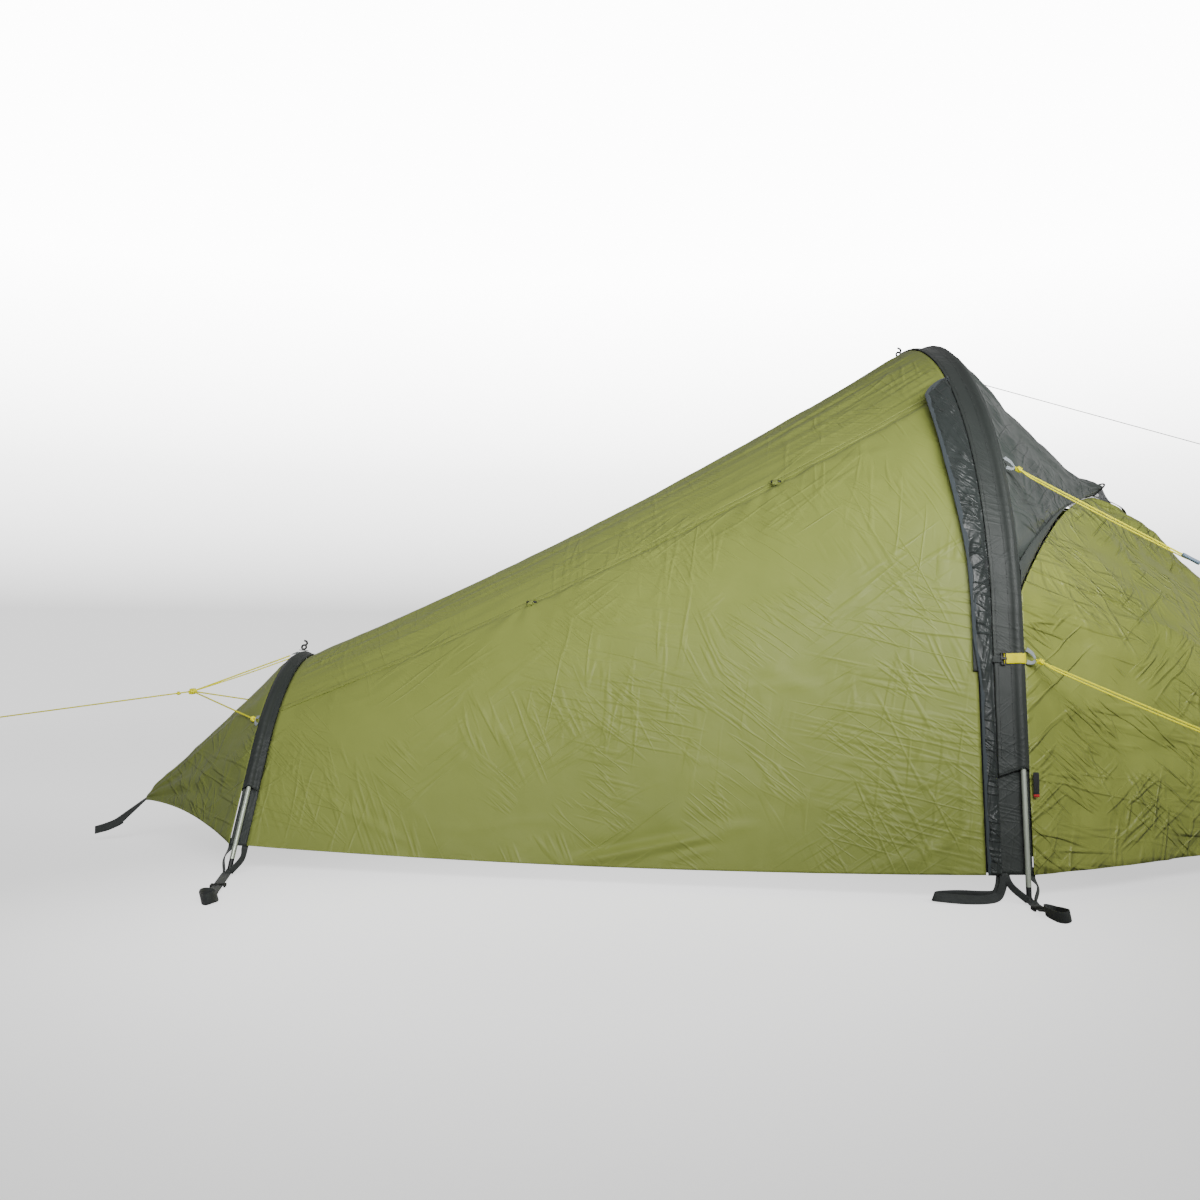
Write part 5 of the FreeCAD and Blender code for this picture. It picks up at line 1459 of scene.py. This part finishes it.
BAND_SECTION = [(-0.0245, 0.0040), (-0.0180, 0.0042), (-0.0120, 0.0046), (-0.0085, 0.0058), (-0.0055, 0.0072),
                (-0.0028, 0.0081), (0.0, 0.0084), (0.0030, 0.0080), (0.0058, 0.0066), (0.0082, 0.0046),
                (0.0104, 0.0022), (0.0118, 0.0)]
BAND_Z = 0.387
band_run = front.run_at(BAND_Z)
for side, word in ((NEAR, "near"), (FAR, "far")):
    round_section = [(q[0], q[1]) for q in spline_points([vec(a, b, 0) for a, b in BAND_SECTION], 40)]
    band = wrap("sleeve_band_" + word, front, band_run, round_section, 0.0165, 0.0013, WEB_YELLOW, side)
    dress(band, "band_yellow", "sleeve_bands")
    n = unit(front.out(band_run, side))
    down = front.down(band_run, side)
    hook_bits = []
    for dx, half in ((-0.0290, 0.0100), (-0.0225, 0.0100)):
        hook_bits.append(block("band_hook_bar", front.at(band_run, side, 0.0050, dx), down, n, half, 0.0011,
                               0.0012, BLACK, TENT, 0.0006))
    for k in (-1, 1):
        hook_bits.append(block("band_hook_side", front.at(band_run + 0.0095 * k, side, 0.0050, -0.0258),
                               vec(1, 0, 0), n, 0.0042, 0.0011, 0.0012, BLACK, TENT, 0.0006))
    hook_bits.append(block("band_hook_tongue", front.at(band_run, side, 0.0062, -0.0258), vec(1, 0, 0), n,
                           0.0052, 0.0020, 0.0008, BLACK, TENT, 0.0005))
    hook = joined(applied(hook_bits, "bevel"), "band_hook_" + word)
    dress(hook, "plastic_black", "sleeve_band_hooks")
    tail_tab = wrap("band_tab_" + word, front, band_run + 0.001,
                    [(-0.0290, 0.0048), (-0.0330, 0.0036), (-0.0385, 0.0032), (-0.0430, 0.0034)], 0.0110,
                    0.0012, WEB, side)

label_runs = [front.run_at(z) for z in np.linspace(0.205, 0.166, 10)]
label_n = [front.out(r, NEAR) for r in label_runs]
LABEL_DX, LABEL_WIDTH, LABEL_SPLIT = 0.0190, 0.0092, 8       # the last rows are the red foot
label_path = [front.at(r, NEAR, 0.0022 + 0.001 * math.sin(k * 0.6), LABEL_DX) for k,
              r in enumerate(label_runs)]
label = ribbon("side_label_cloth", label_path[:LABEL_SPLIT + 1], label_n[:LABEL_SPLIT + 1], LABEL_WIDTH,
               0.0010, LABEL)
label_foot = ribbon("side_label_foot", label_path[LABEL_SPLIT:], label_n[LABEL_SPLIT:], LABEL_WIDTH, 0.0011,
                    LABEL_RED)
dress(label, "label_black", "side_label")

for k, t in enumerate(TOGGLES):
    p = side_point(t, 0.004, NEAR, zip_edge)
    n = surface_normal(lambda u, v: side_point(u, v, NEAR, zip_edge), t, 0.02, INSIDE_SIDES)
    down = unit(vec(0, -0.35, -0.94) - n * np.dot(vec(0, -0.35, -0.94), n))
    path = [p + n * 0.0014, p + n * 0.0032 + down * 0.008, p + n * 0.0052 + down * 0.018,
            p + n * 0.0068 + down * 0.0225,
            p + n * 0.0090 + down * 0.0180, p + n * 0.0070 + down * 0.008, p + n * 0.0030 + down * 0.001]
    dense = spline_points(path, 36)
    ups = spline_points([n, n, n, down, -n, -n, -n], 36)
    loop = ribbon("toggle_loop_%d" % k, dense, ups, 0.0100, 0.0011, GREEN)
    bar_pts = [p + n * 0.0052 + down * 0.011 + vec(x, 0, 0) for x in (-0.010, -0.0085, -0.004, 0.004, 0.0085,
                                                                      0.010)]
    toggle_bar = tube("toggle_bar_%d" % k, bar_pts, 0.0022, BLACK, sides=10,
                      radii=[0.0012, 0.0023, 0.0019, 0.0019, 0.0023, 0.0012])
    dress(loop, "webbing_dark", "door_toggles")
    dress(toggle_bar, "plastic_black", "door_toggles")

for hoop, dx, word in ((front, -0.031, "front"), (rear, -0.003, "rear")):
    base = hoop.at(0.0, NEAR, 0.0074 if word == "rear" else 0.0024, dx)
    up = unit(hoop.at(0.0, NEAR, 1.0, dx) - hoop.at(0.0, NEAR, 0.0, dx))
    plate = ribbon("apex_tab_" + word, [base + vec(0, y, 0) + up * (0.0006 - abs(y) * 0.02) for y in
                                        np.linspace(-0.011, 0.011, 9)], up, 0.0150, 0.0014, WEB)
    ring = [base + up * (0.0072 + 0.0046 * math.cos(a)) + vec(0.0046 * math.sin(a), 0, 0)
            for a in np.linspace(0, 2 * math.pi, 24, endpoint=False)]
    eye = tube("apex_ring_" + word, ring, 0.0021, BLACK, sides=10, closed=True)
    stem = [base + up * 0.010 + vec(0.002, 0, 0), base + up * 0.015 + vec(0.0055, 0.001, 0),
            base + up * 0.0195 + vec(0.0035, 0.0015, 0), base + up * 0.0215 + vec(-0.0015, 0.001, 0)]
    claw = tube("apex_hook_" + word, spline_points(stem, 14), 0.0022, BLACK, sides=10)
    for o in (plate, eye, claw):
        dress(o, "hook_metal", "apex_hooks")

# ---------------------------------------------------------------- guy tapes: a small V of tape at each line
REAR_TAPE_Z, FRONT_TAPES = 0.268, ((0.722, "upper"), (0.392, "lower"))


def v_tape(name, base, knot, spread_dir, width, gap):
    """Two arms of tape from the seam to a line's eye."""
    arms = []
    d = unit(knot - base)
    for k in (-1, 1):
        start = base + spread_dir * (gap * k)
        path = [start, lerp(start, knot, 0.5) + spread_dir * (gap * 0.25 * k), knot - d * 0.0042
                + spread_dir * (0.0012 * k)]
        n = unit(np.cross(d, spread_dir))
        arms.append(ribbon("%s_%d" % (name, k), spline_points(path, 12), n, width, 0.0009, WEB_TAPE,
                           widths=list(np.linspace(width, width * 0.45, 13))))
    o = joined(arms, name)
    dress(o, "tape_grey", "guy_tapes")


for side, word in ((NEAR, "near"), (FAR, "far")):
    for z, name in FRONT_TAPES:
        base = front.at(front.run_at(z), side, -0.0004, FRONT_DX + 0.003)
        start = vec(*LINES["guy_front_%s_%s" % (name, word)][0])
        d = unit(vec(*LINES["guy_front_%s_%s" % (name, word)][1]) - start)
        down = front.down(front.run_at(z), side)
        v_tape("guy_tape_%s_%s" % (name, word), base, start - d * 0.009, down, 0.0075, 0.0105)
    start = vec(*LINES["guy_rear_" + word][0])
    d = unit(vec(*LINES["guy_rear_" + word][1]) - start)
    base = rear.at(rear.run_at(REAR_TAPE_Z), side, 0.0006, REAR_BACK_DX - 0.001)
    down = rear.down(rear.run_at(REAR_TAPE_Z), side)
    v_tape("guy_tape_rear_" + word, base, start - d * 0.009, down, 0.0075, 0.0085)
start = vec(*LINES["guy_rear_top"][0])
base = rear.at(0.0, NEAR, 0.0036, REAR_BACK_DX - 0.0005)
d = unit(REAR_KNOT - base)
v_tape("guy_tape_rear_top", base, base + d * 0.0195, vec(0, 1, 0), 0.0080, 0.0085)

# ---------------------------------------------------------------- inner tent
TUB = 0.080
plan = [(-1.130, -0.045), (-1.075, -0.075), (0.245, -0.215), (0.850, -0.150),
        (0.850, 0.250), (0.245, 0.575), (-1.080, 0.300), (-1.130, 0.150)]
low = [vec(x, y, TUB + 0.0005) for x, y in plan]
ridge_rear, ridge_front = vec(-1.062, 0, 0.335), vec(0.245, 0, 0.978)
ridge_end, ridge_tail = vec(0.800, 0.010, 0.480), vec(-1.116, 0, 0.190)
shoulder_rear = {NEAR: vec(-1.068, -0.112, 0.255), FAR: vec(-1.068, 0.185, 0.255)}
shoulder_front = {NEAR: vec(0.245, -0.205, 0.905), FAR: vec(0.245, 0.390, 0.770)}
shoulder_end = {NEAR: vec(0.815, -0.110, 0.330), FAR: vec(0.815, 0.125, 0.330)}
INSIDE = (-0.2, 0.03, 0.35)


PANEL_RIM = 0.07             # share of a panel over which the slack begins at a seam


def panel(name, a0, a1, b1, b0, nu, nv, slack=0.010, seed=0.0):
    """Cloth between two edges, hanging a little slack between its seams."""
    def point(u, v):
        return lerp(lerp(a0, a1, u), lerp(b0, b1, u), v)

    def hang(u, v, p):
        inside = ends(u, PANEL_RIM) * ends(v, PANEL_RIM)
        return -inside * slack * 0.6 + inside * (slack * 0.35 * rough(p, 7.0, seed, 3)
                                                 + 0.0012 * rough(p, 26.0, seed, 2))
    return surface(name, point, nu, nv, INNER, hang, away=INSIDE)


def on_ground(i):
    return vec(*plan[i], 0.0006)


tub_parts = [surface("tub_floor", lambda u, v: lerp(lerp(on_ground(0), on_ground(7), v),
                                                    lerp(on_ground(1), on_ground(6), v), u),
                     12, 40, FLOOR, lambda u, v, p: 0.0008 * abs(rough(p, 9.0, 1.0)), away=(0, 0, -1))]
for k, (a, b, c, d) in enumerate(((1, 6, 2, 5), (2, 5, 3, 4))):
    pa, pb, pc, pd = (on_ground(i) for i in (a, b, c, d))
    tub_parts.append(surface("tub_floor_%d" % k, lambda u, v, pa=pa, pb=pb, pc=pc,
                             pd=pd: lerp(lerp(pa, pb, v), lerp(pc, pd, v), u),
                             90 if k == 0 else 50, 60, FLOOR,
                             lambda u, v, p: 0.0012 * abs(rough(p, 9.0, 1.0)) * ends(v, 0.05),
                             away=(0, 0, -1)))
for i in range(8):
    a, b = on_ground(i), on_ground((i + 1) % 8)
    up = vec(0, 0, TUB)
    tub_parts.append(surface("tub_wall_%d" % i, lambda u, v, a=a, b=b: lerp(a, b, u) + up * v,
                             max(6, int(np.linalg.norm(b - a) / 0.014)), 9, FLOOR, lambda u, v,
                             p: (0.0022 * rough(p, (12, 12, 4), 2.0) - 0.002) * math.sin(math.pi * v),
                             away=INSIDE))
tub = joined(applied(tub_parts, "cloth"), "inner_floor_cloth")
dress(tub, "floor_dark", "inner_floor_tub")


def cloth_join(parts, name, node_name, slot):
    o = joined(applied(parts, "cloth"), name)
    dress(o, slot, node_name)
    return o


far_wall = cloth_join([
    panel("inner_far_a", low[6], low[5], shoulder_front[FAR], shoulder_rear[FAR], 110, 44, seed=1.0),
    panel("inner_far_b", low[5], low[4], shoulder_end[FAR], shoulder_front[FAR], 54, 44, seed=2.0),
], "inner_far_wall_cloth", "inner_wall_far", "inner_cloth")
inner_roof = cloth_join([
    panel("inner_roof_a", shoulder_rear[FAR], shoulder_front[FAR], ridge_front, ridge_rear, 110, 30,
          seed=3.0),
    panel("inner_roof_b", shoulder_front[FAR], shoulder_end[FAR], ridge_end, ridge_front, 54, 30, seed=4.0),
    panel("inner_roof_c", shoulder_rear[NEAR], shoulder_front[NEAR], ridge_front, ridge_rear, 110, 20,
          seed=5.0),
    panel("inner_roof_d", shoulder_front[NEAR], shoulder_end[NEAR], ridge_end, ridge_front, 54, 20, seed=6.0),
], "inner_roof_cloth", "inner_roof", "inner_cloth")
tail_top = {side: ridge_tail + vec(0, side * 0.014, 0) for side in (NEAR, FAR)}
end_walls = cloth_join([
    panel("inner_end_a", low[3], low[4], shoulder_end[FAR], shoulder_end[NEAR], 30, 24, seed=7.0),
    panel("inner_end_b", shoulder_end[NEAR], shoulder_end[FAR], ridge_end + vec(0, 0.010, 0),
          ridge_end + vec(0, -0.010, 0), 24, 16, 0.005, seed=8.0),
    panel("inner_end_c", low[0], low[1], shoulder_rear[NEAR], tail_top[NEAR], 16, 16, 0.004, seed=9.0),
    panel("inner_end_d", low[7], low[6], shoulder_rear[FAR], tail_top[FAR], 16, 16, 0.004, seed=10.0),
    panel("inner_end_e", low[0], low[7], tail_top[FAR], tail_top[NEAR], 20, 12, 0.003, seed=11.0),
    panel("inner_end_f", tail_top[NEAR], shoulder_rear[NEAR], ridge_rear, ridge_tail, 14, 12, 0.002,
          seed=12.0),
    panel("inner_end_g", tail_top[FAR], shoulder_rear[FAR], ridge_rear, ridge_tail, 14, 12, 0.002, seed=13.0),
], "inner_end_cloth", "inner_end_walls", "inner_cloth")

DOOR_T, DOOR_S = (0.36, 0.94), (0.05, 0.84)


def near_wall(t, s):
    return lerp(lerp(low[1], low[2], t), lerp(shoulder_rear[NEAR], shoulder_front[NEAR], t), s)


def outside_door(t, s):
    return not (DOOR_T[0] < t < DOOR_T[1] and DOOR_S[0] < s < DOOR_S[1])


def wall_hang(t, s, p):
    gap_t = max(DOOR_T[0] - t, t - DOOR_T[1], 0)
    rim = ends(t, 0.05, 0.02) * ends(s, 0.05) * smooth(gap_t / 0.04)
    return rim * (-0.004 + 0.003 * rough(p, 7.0, 14.0, 3))


T_GRID = np.concatenate([np.linspace(0, 0.36, 41)[:-1], np.linspace(0.36, 0.94, 61)[:-1],
                         np.linspace(0.94, 1, 8)])
S_GRID = np.concatenate([np.linspace(0, 0.05, 4)[:-1], np.linspace(0.05, 0.84, 31)[:-1],
                         np.linspace(0.84, 1, 8)])
near_wall_cloth = cloth_join([
    surface("inner_near_a", near_wall, T_GRID, S_GRID, INNER, wall_hang, away=INSIDE, keep=outside_door),
    panel("inner_near_b", low[2], low[3], shoulder_end[NEAR], shoulder_front[NEAR], 54, 40, seed=15.0),
], "inner_near_wall_cloth", "inner_wall_near", "inner_cloth")
IN = 0.006


def door_point(u, v):
    return near_wall(lerp(DOOR_T[0] + IN, DOOR_T[1] - IN, u), lerp(DOOR_S[0] + IN, DOOR_S[1] - IN, v))


def door_hang(u, v, p):
    rim = ends(u, 0.08) * ends(v, 0.08)
    return rim * (0.003 * rough(p, 6.0, 16.0, 2) - 0.003)


inner_door = surface("inner_door_net", door_point, 90, 44, NET_DOOR, door_hang, away=INSIDE,
                     body="inner_door", thick=0.0)
dress(inner_door, "inner_mesh", "inner_door")
door_border = [(k / 40, 0.0) for k in range(40)] + [(1.0, k / 24) for k in range(24)] \
    + [(1 - k / 40, 1.0) for k in range(40)] + [(0.0, 1 - k / 24) for k in range(25)]
wall_n = unit(np.cross(near_wall(1, 0) - near_wall(0, 0), near_wall(0, 1) - near_wall(0, 0)))
wall_n = wall_n if wall_n[1] < 0 else -wall_n
border = ribbon("inner_door_border", [door_point(u, v) + wall_n * 0.0008 for u, v in door_border], wall_n,
                0.012, 0.0010, ZIP, "inner_door")


def ridge_hanger(k, t):
    foot = lerp(ridge_front, ridge_rear, t)
    fx, rx = front.at(0, NEAR, FLY_OFF, BACK_DX), rear.at(0, NEAR, FLY_OFF, REAR_FRONT_DX)
    q = (fx[0] - foot[0]) / (fx[0] - rx[0])
    top = lerp(fx, rx, q)
    top[2] -= ROOF_SAG * 4 * q * (1 - q)
    cord_top = vec(foot[0], 0, top[2] - 0.004)
    strand = tube("hanger_cord_%d" % k, [vec(foot[0], 0, lerp(foot[2] + 0.001, cord_top[2], s))
                                         for s in (0, 0.5, 1.0)],
                  0.0013, ELASTIC, sides=8)
    peg = [vec(foot[0] + x, 0, foot[2] + 0.010) for x in (-0.009, -0.0075, -0.003, 0.003, 0.0075, 0.009)]
    toggle = tube("hanger_toggle_%d" % k, peg, 0.002, BLACK, sides=8,
                  radii=[0.001, 0.002, 0.0016, 0.0016, 0.002, 0.001])
    for o in (strand, toggle):
        dress(o, "elastic", "inner_hangers")


for k, t in enumerate((0.03, 0.35, 0.68, 0.97)):
    ridge_hanger(k, t)


# ---------------------------------------------------------------- CAD pieces that show as they are
CAD_LOOK = {
    "pole_tubes": POLE, "pole_ferrules": POLE, "pole_tips": TIP, "pole_shock_cords": ELASTIC,
}
for name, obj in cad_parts.items():
    for key, mat in CAD_LOOK.items():
        if key in name:
            obj.data.materials.clear()
            obj.data.materials.append(mat)

# ---------------------------------------------------------------- floor, backdrop and light
FADE_START, FADE_END = 2.2, 8.5                     # where the floor begins to melt into the backdrop
LIGHT_POOL_AT, LIGHT_POOL_INNER, LIGHT_POOL_OUTER = (-0.46, -0.90, 0.0), 0.35, 1.15
PAPER_LIT, PAPER_SEEN = (0.40, 0.40, 0.405, 1), (0.80, 0.80, 0.805, 1)
floor_mat, nt, bsdf = material("studio_floor")
on_floor = node(nt, "ShaderNodeTexCoord").outputs["Object"]
reach = node(nt, "ShaderNodeVectorMath", [(0, on_floor)], operation="LENGTH").outputs["Value"]
clear = node(nt, "ShaderNodeBsdfTransparent")
faded = node(nt, "ShaderNodeMixShader", [("Fac", map_range(nt, reach, FADE_START, FADE_END)),
                                         (1, bsdf.outputs[0]), (2, clear.outputs[0])])
nt.links.new(faded.outputs[0], nt.nodes["Material Output"].inputs["Surface"])
seen = node(nt, "ShaderNodeLightPath").outputs["Is Camera Ray"]
# painted light on the floor: camera rays see a glowing pool of light round its centre that fades outward, and a
# glow that grows brighter further back along y
light_pool = node(nt, "ShaderNodeVectorMath", [(0, on_floor), (1, LIGHT_POOL_AT)], operation="DISTANCE").outputs["Value"]
depth = node(nt, "ShaderNodeSeparateXYZ", [("Vector", on_floor)]).outputs["Y"]
glow = math_node(nt, "MULTIPLY", map_range(nt, light_pool, LIGHT_POOL_INNER, LIGHT_POOL_OUTER, 1.0, 0.62),
                 map_range(nt, depth, -0.6, 1.0, 1.52, 1.95))
plug(nt, bsdf, [("Roughness", 0.85), ("Specular IOR Level", 0.1), ("Emission Color", (1, 1, 1, 1)),
                ("Base Color", colour_mix(nt, seen, PAPER_LIT, PAPER_SEEN)),
                ("Emission Strength", math_node(nt, "MULTIPLY", glow, seen))])
bpy.ops.mesh.primitive_circle_add(vertices=96, radius=10.0, fill_type="NGON", location=(0, 0, -0.0005))
floor = bpy.context.object
floor.name = "studio_floor"
floor.data.materials.append(floor_mat)

world = bpy.data.worlds.new("studio")
bpy.context.scene.world = world
world.use_nodes = True
wt = world.node_tree
direction = node(wt, "ShaderNodeSeparateXYZ",
                 [("Vector", node(wt, "ShaderNodeTexCoord").outputs["Generated"])])
height, depth = direction.outputs["Z"], direction.outputs["Y"]


def above(start, gain):
    """A backdrop strength that grows with height from a start."""
    over = math_node(wt, "MAXIMUM", math_node(wt, "SUBTRACT", height, start), 0.0)
    return math_node(wt, "MULTIPLY", over, gain)


WHITE = (1, 1, 1, 1)
HORIZON, BRIGHTEST = 1.45, 13.0
rising = math_node(wt, "ADD", math_node(wt, "ADD", above(0.04, 31.0), above(0.15, 22.0)), HORIZON)
backdrop = node(wt, "ShaderNodeBackground",
                [("Color", WHITE), ("Strength", math_node(wt, "MINIMUM", rising, BRIGHTEST))])
dome = math_node(wt, "MULTIPLY", map_range(wt, height, 0.10, 0.80, 1.0, 0.4),
                 map_range(wt, depth, 0.1, 0.9, 0.12, 0.6))
ambient = node(wt, "ShaderNodeBackground", [("Color", WHITE), ("Strength", dome)])
which = node(wt, "ShaderNodeMixShader", [("Fac", node(wt, "ShaderNodeLightPath").outputs["Is Camera Ray"]),
                                         (1, ambient.outputs[0]), (2, backdrop.outputs[0])])
wt.links.new(which.outputs[0], wt.nodes["World Output"].inputs["Surface"])

KEY_AT, KEY_TARGET = (0.10, -2.15, 1.16), (-0.15, -0.45, 0.76)
light = bpy.data.lights.new("key", "AREA")
light.shape, light.size, light.size_y = "RECTANGLE", 3.0, 0.55
light.energy, light.spread = 21, math.radians(76)
key = bpy.data.objects.new("key", light)
bpy.context.scene.collection.objects.link(key)
key.location = KEY_AT
key.rotation_euler = (Vector(KEY_TARGET) - Vector(KEY_AT)).to_track_quat("-Z", "Y").to_euler()
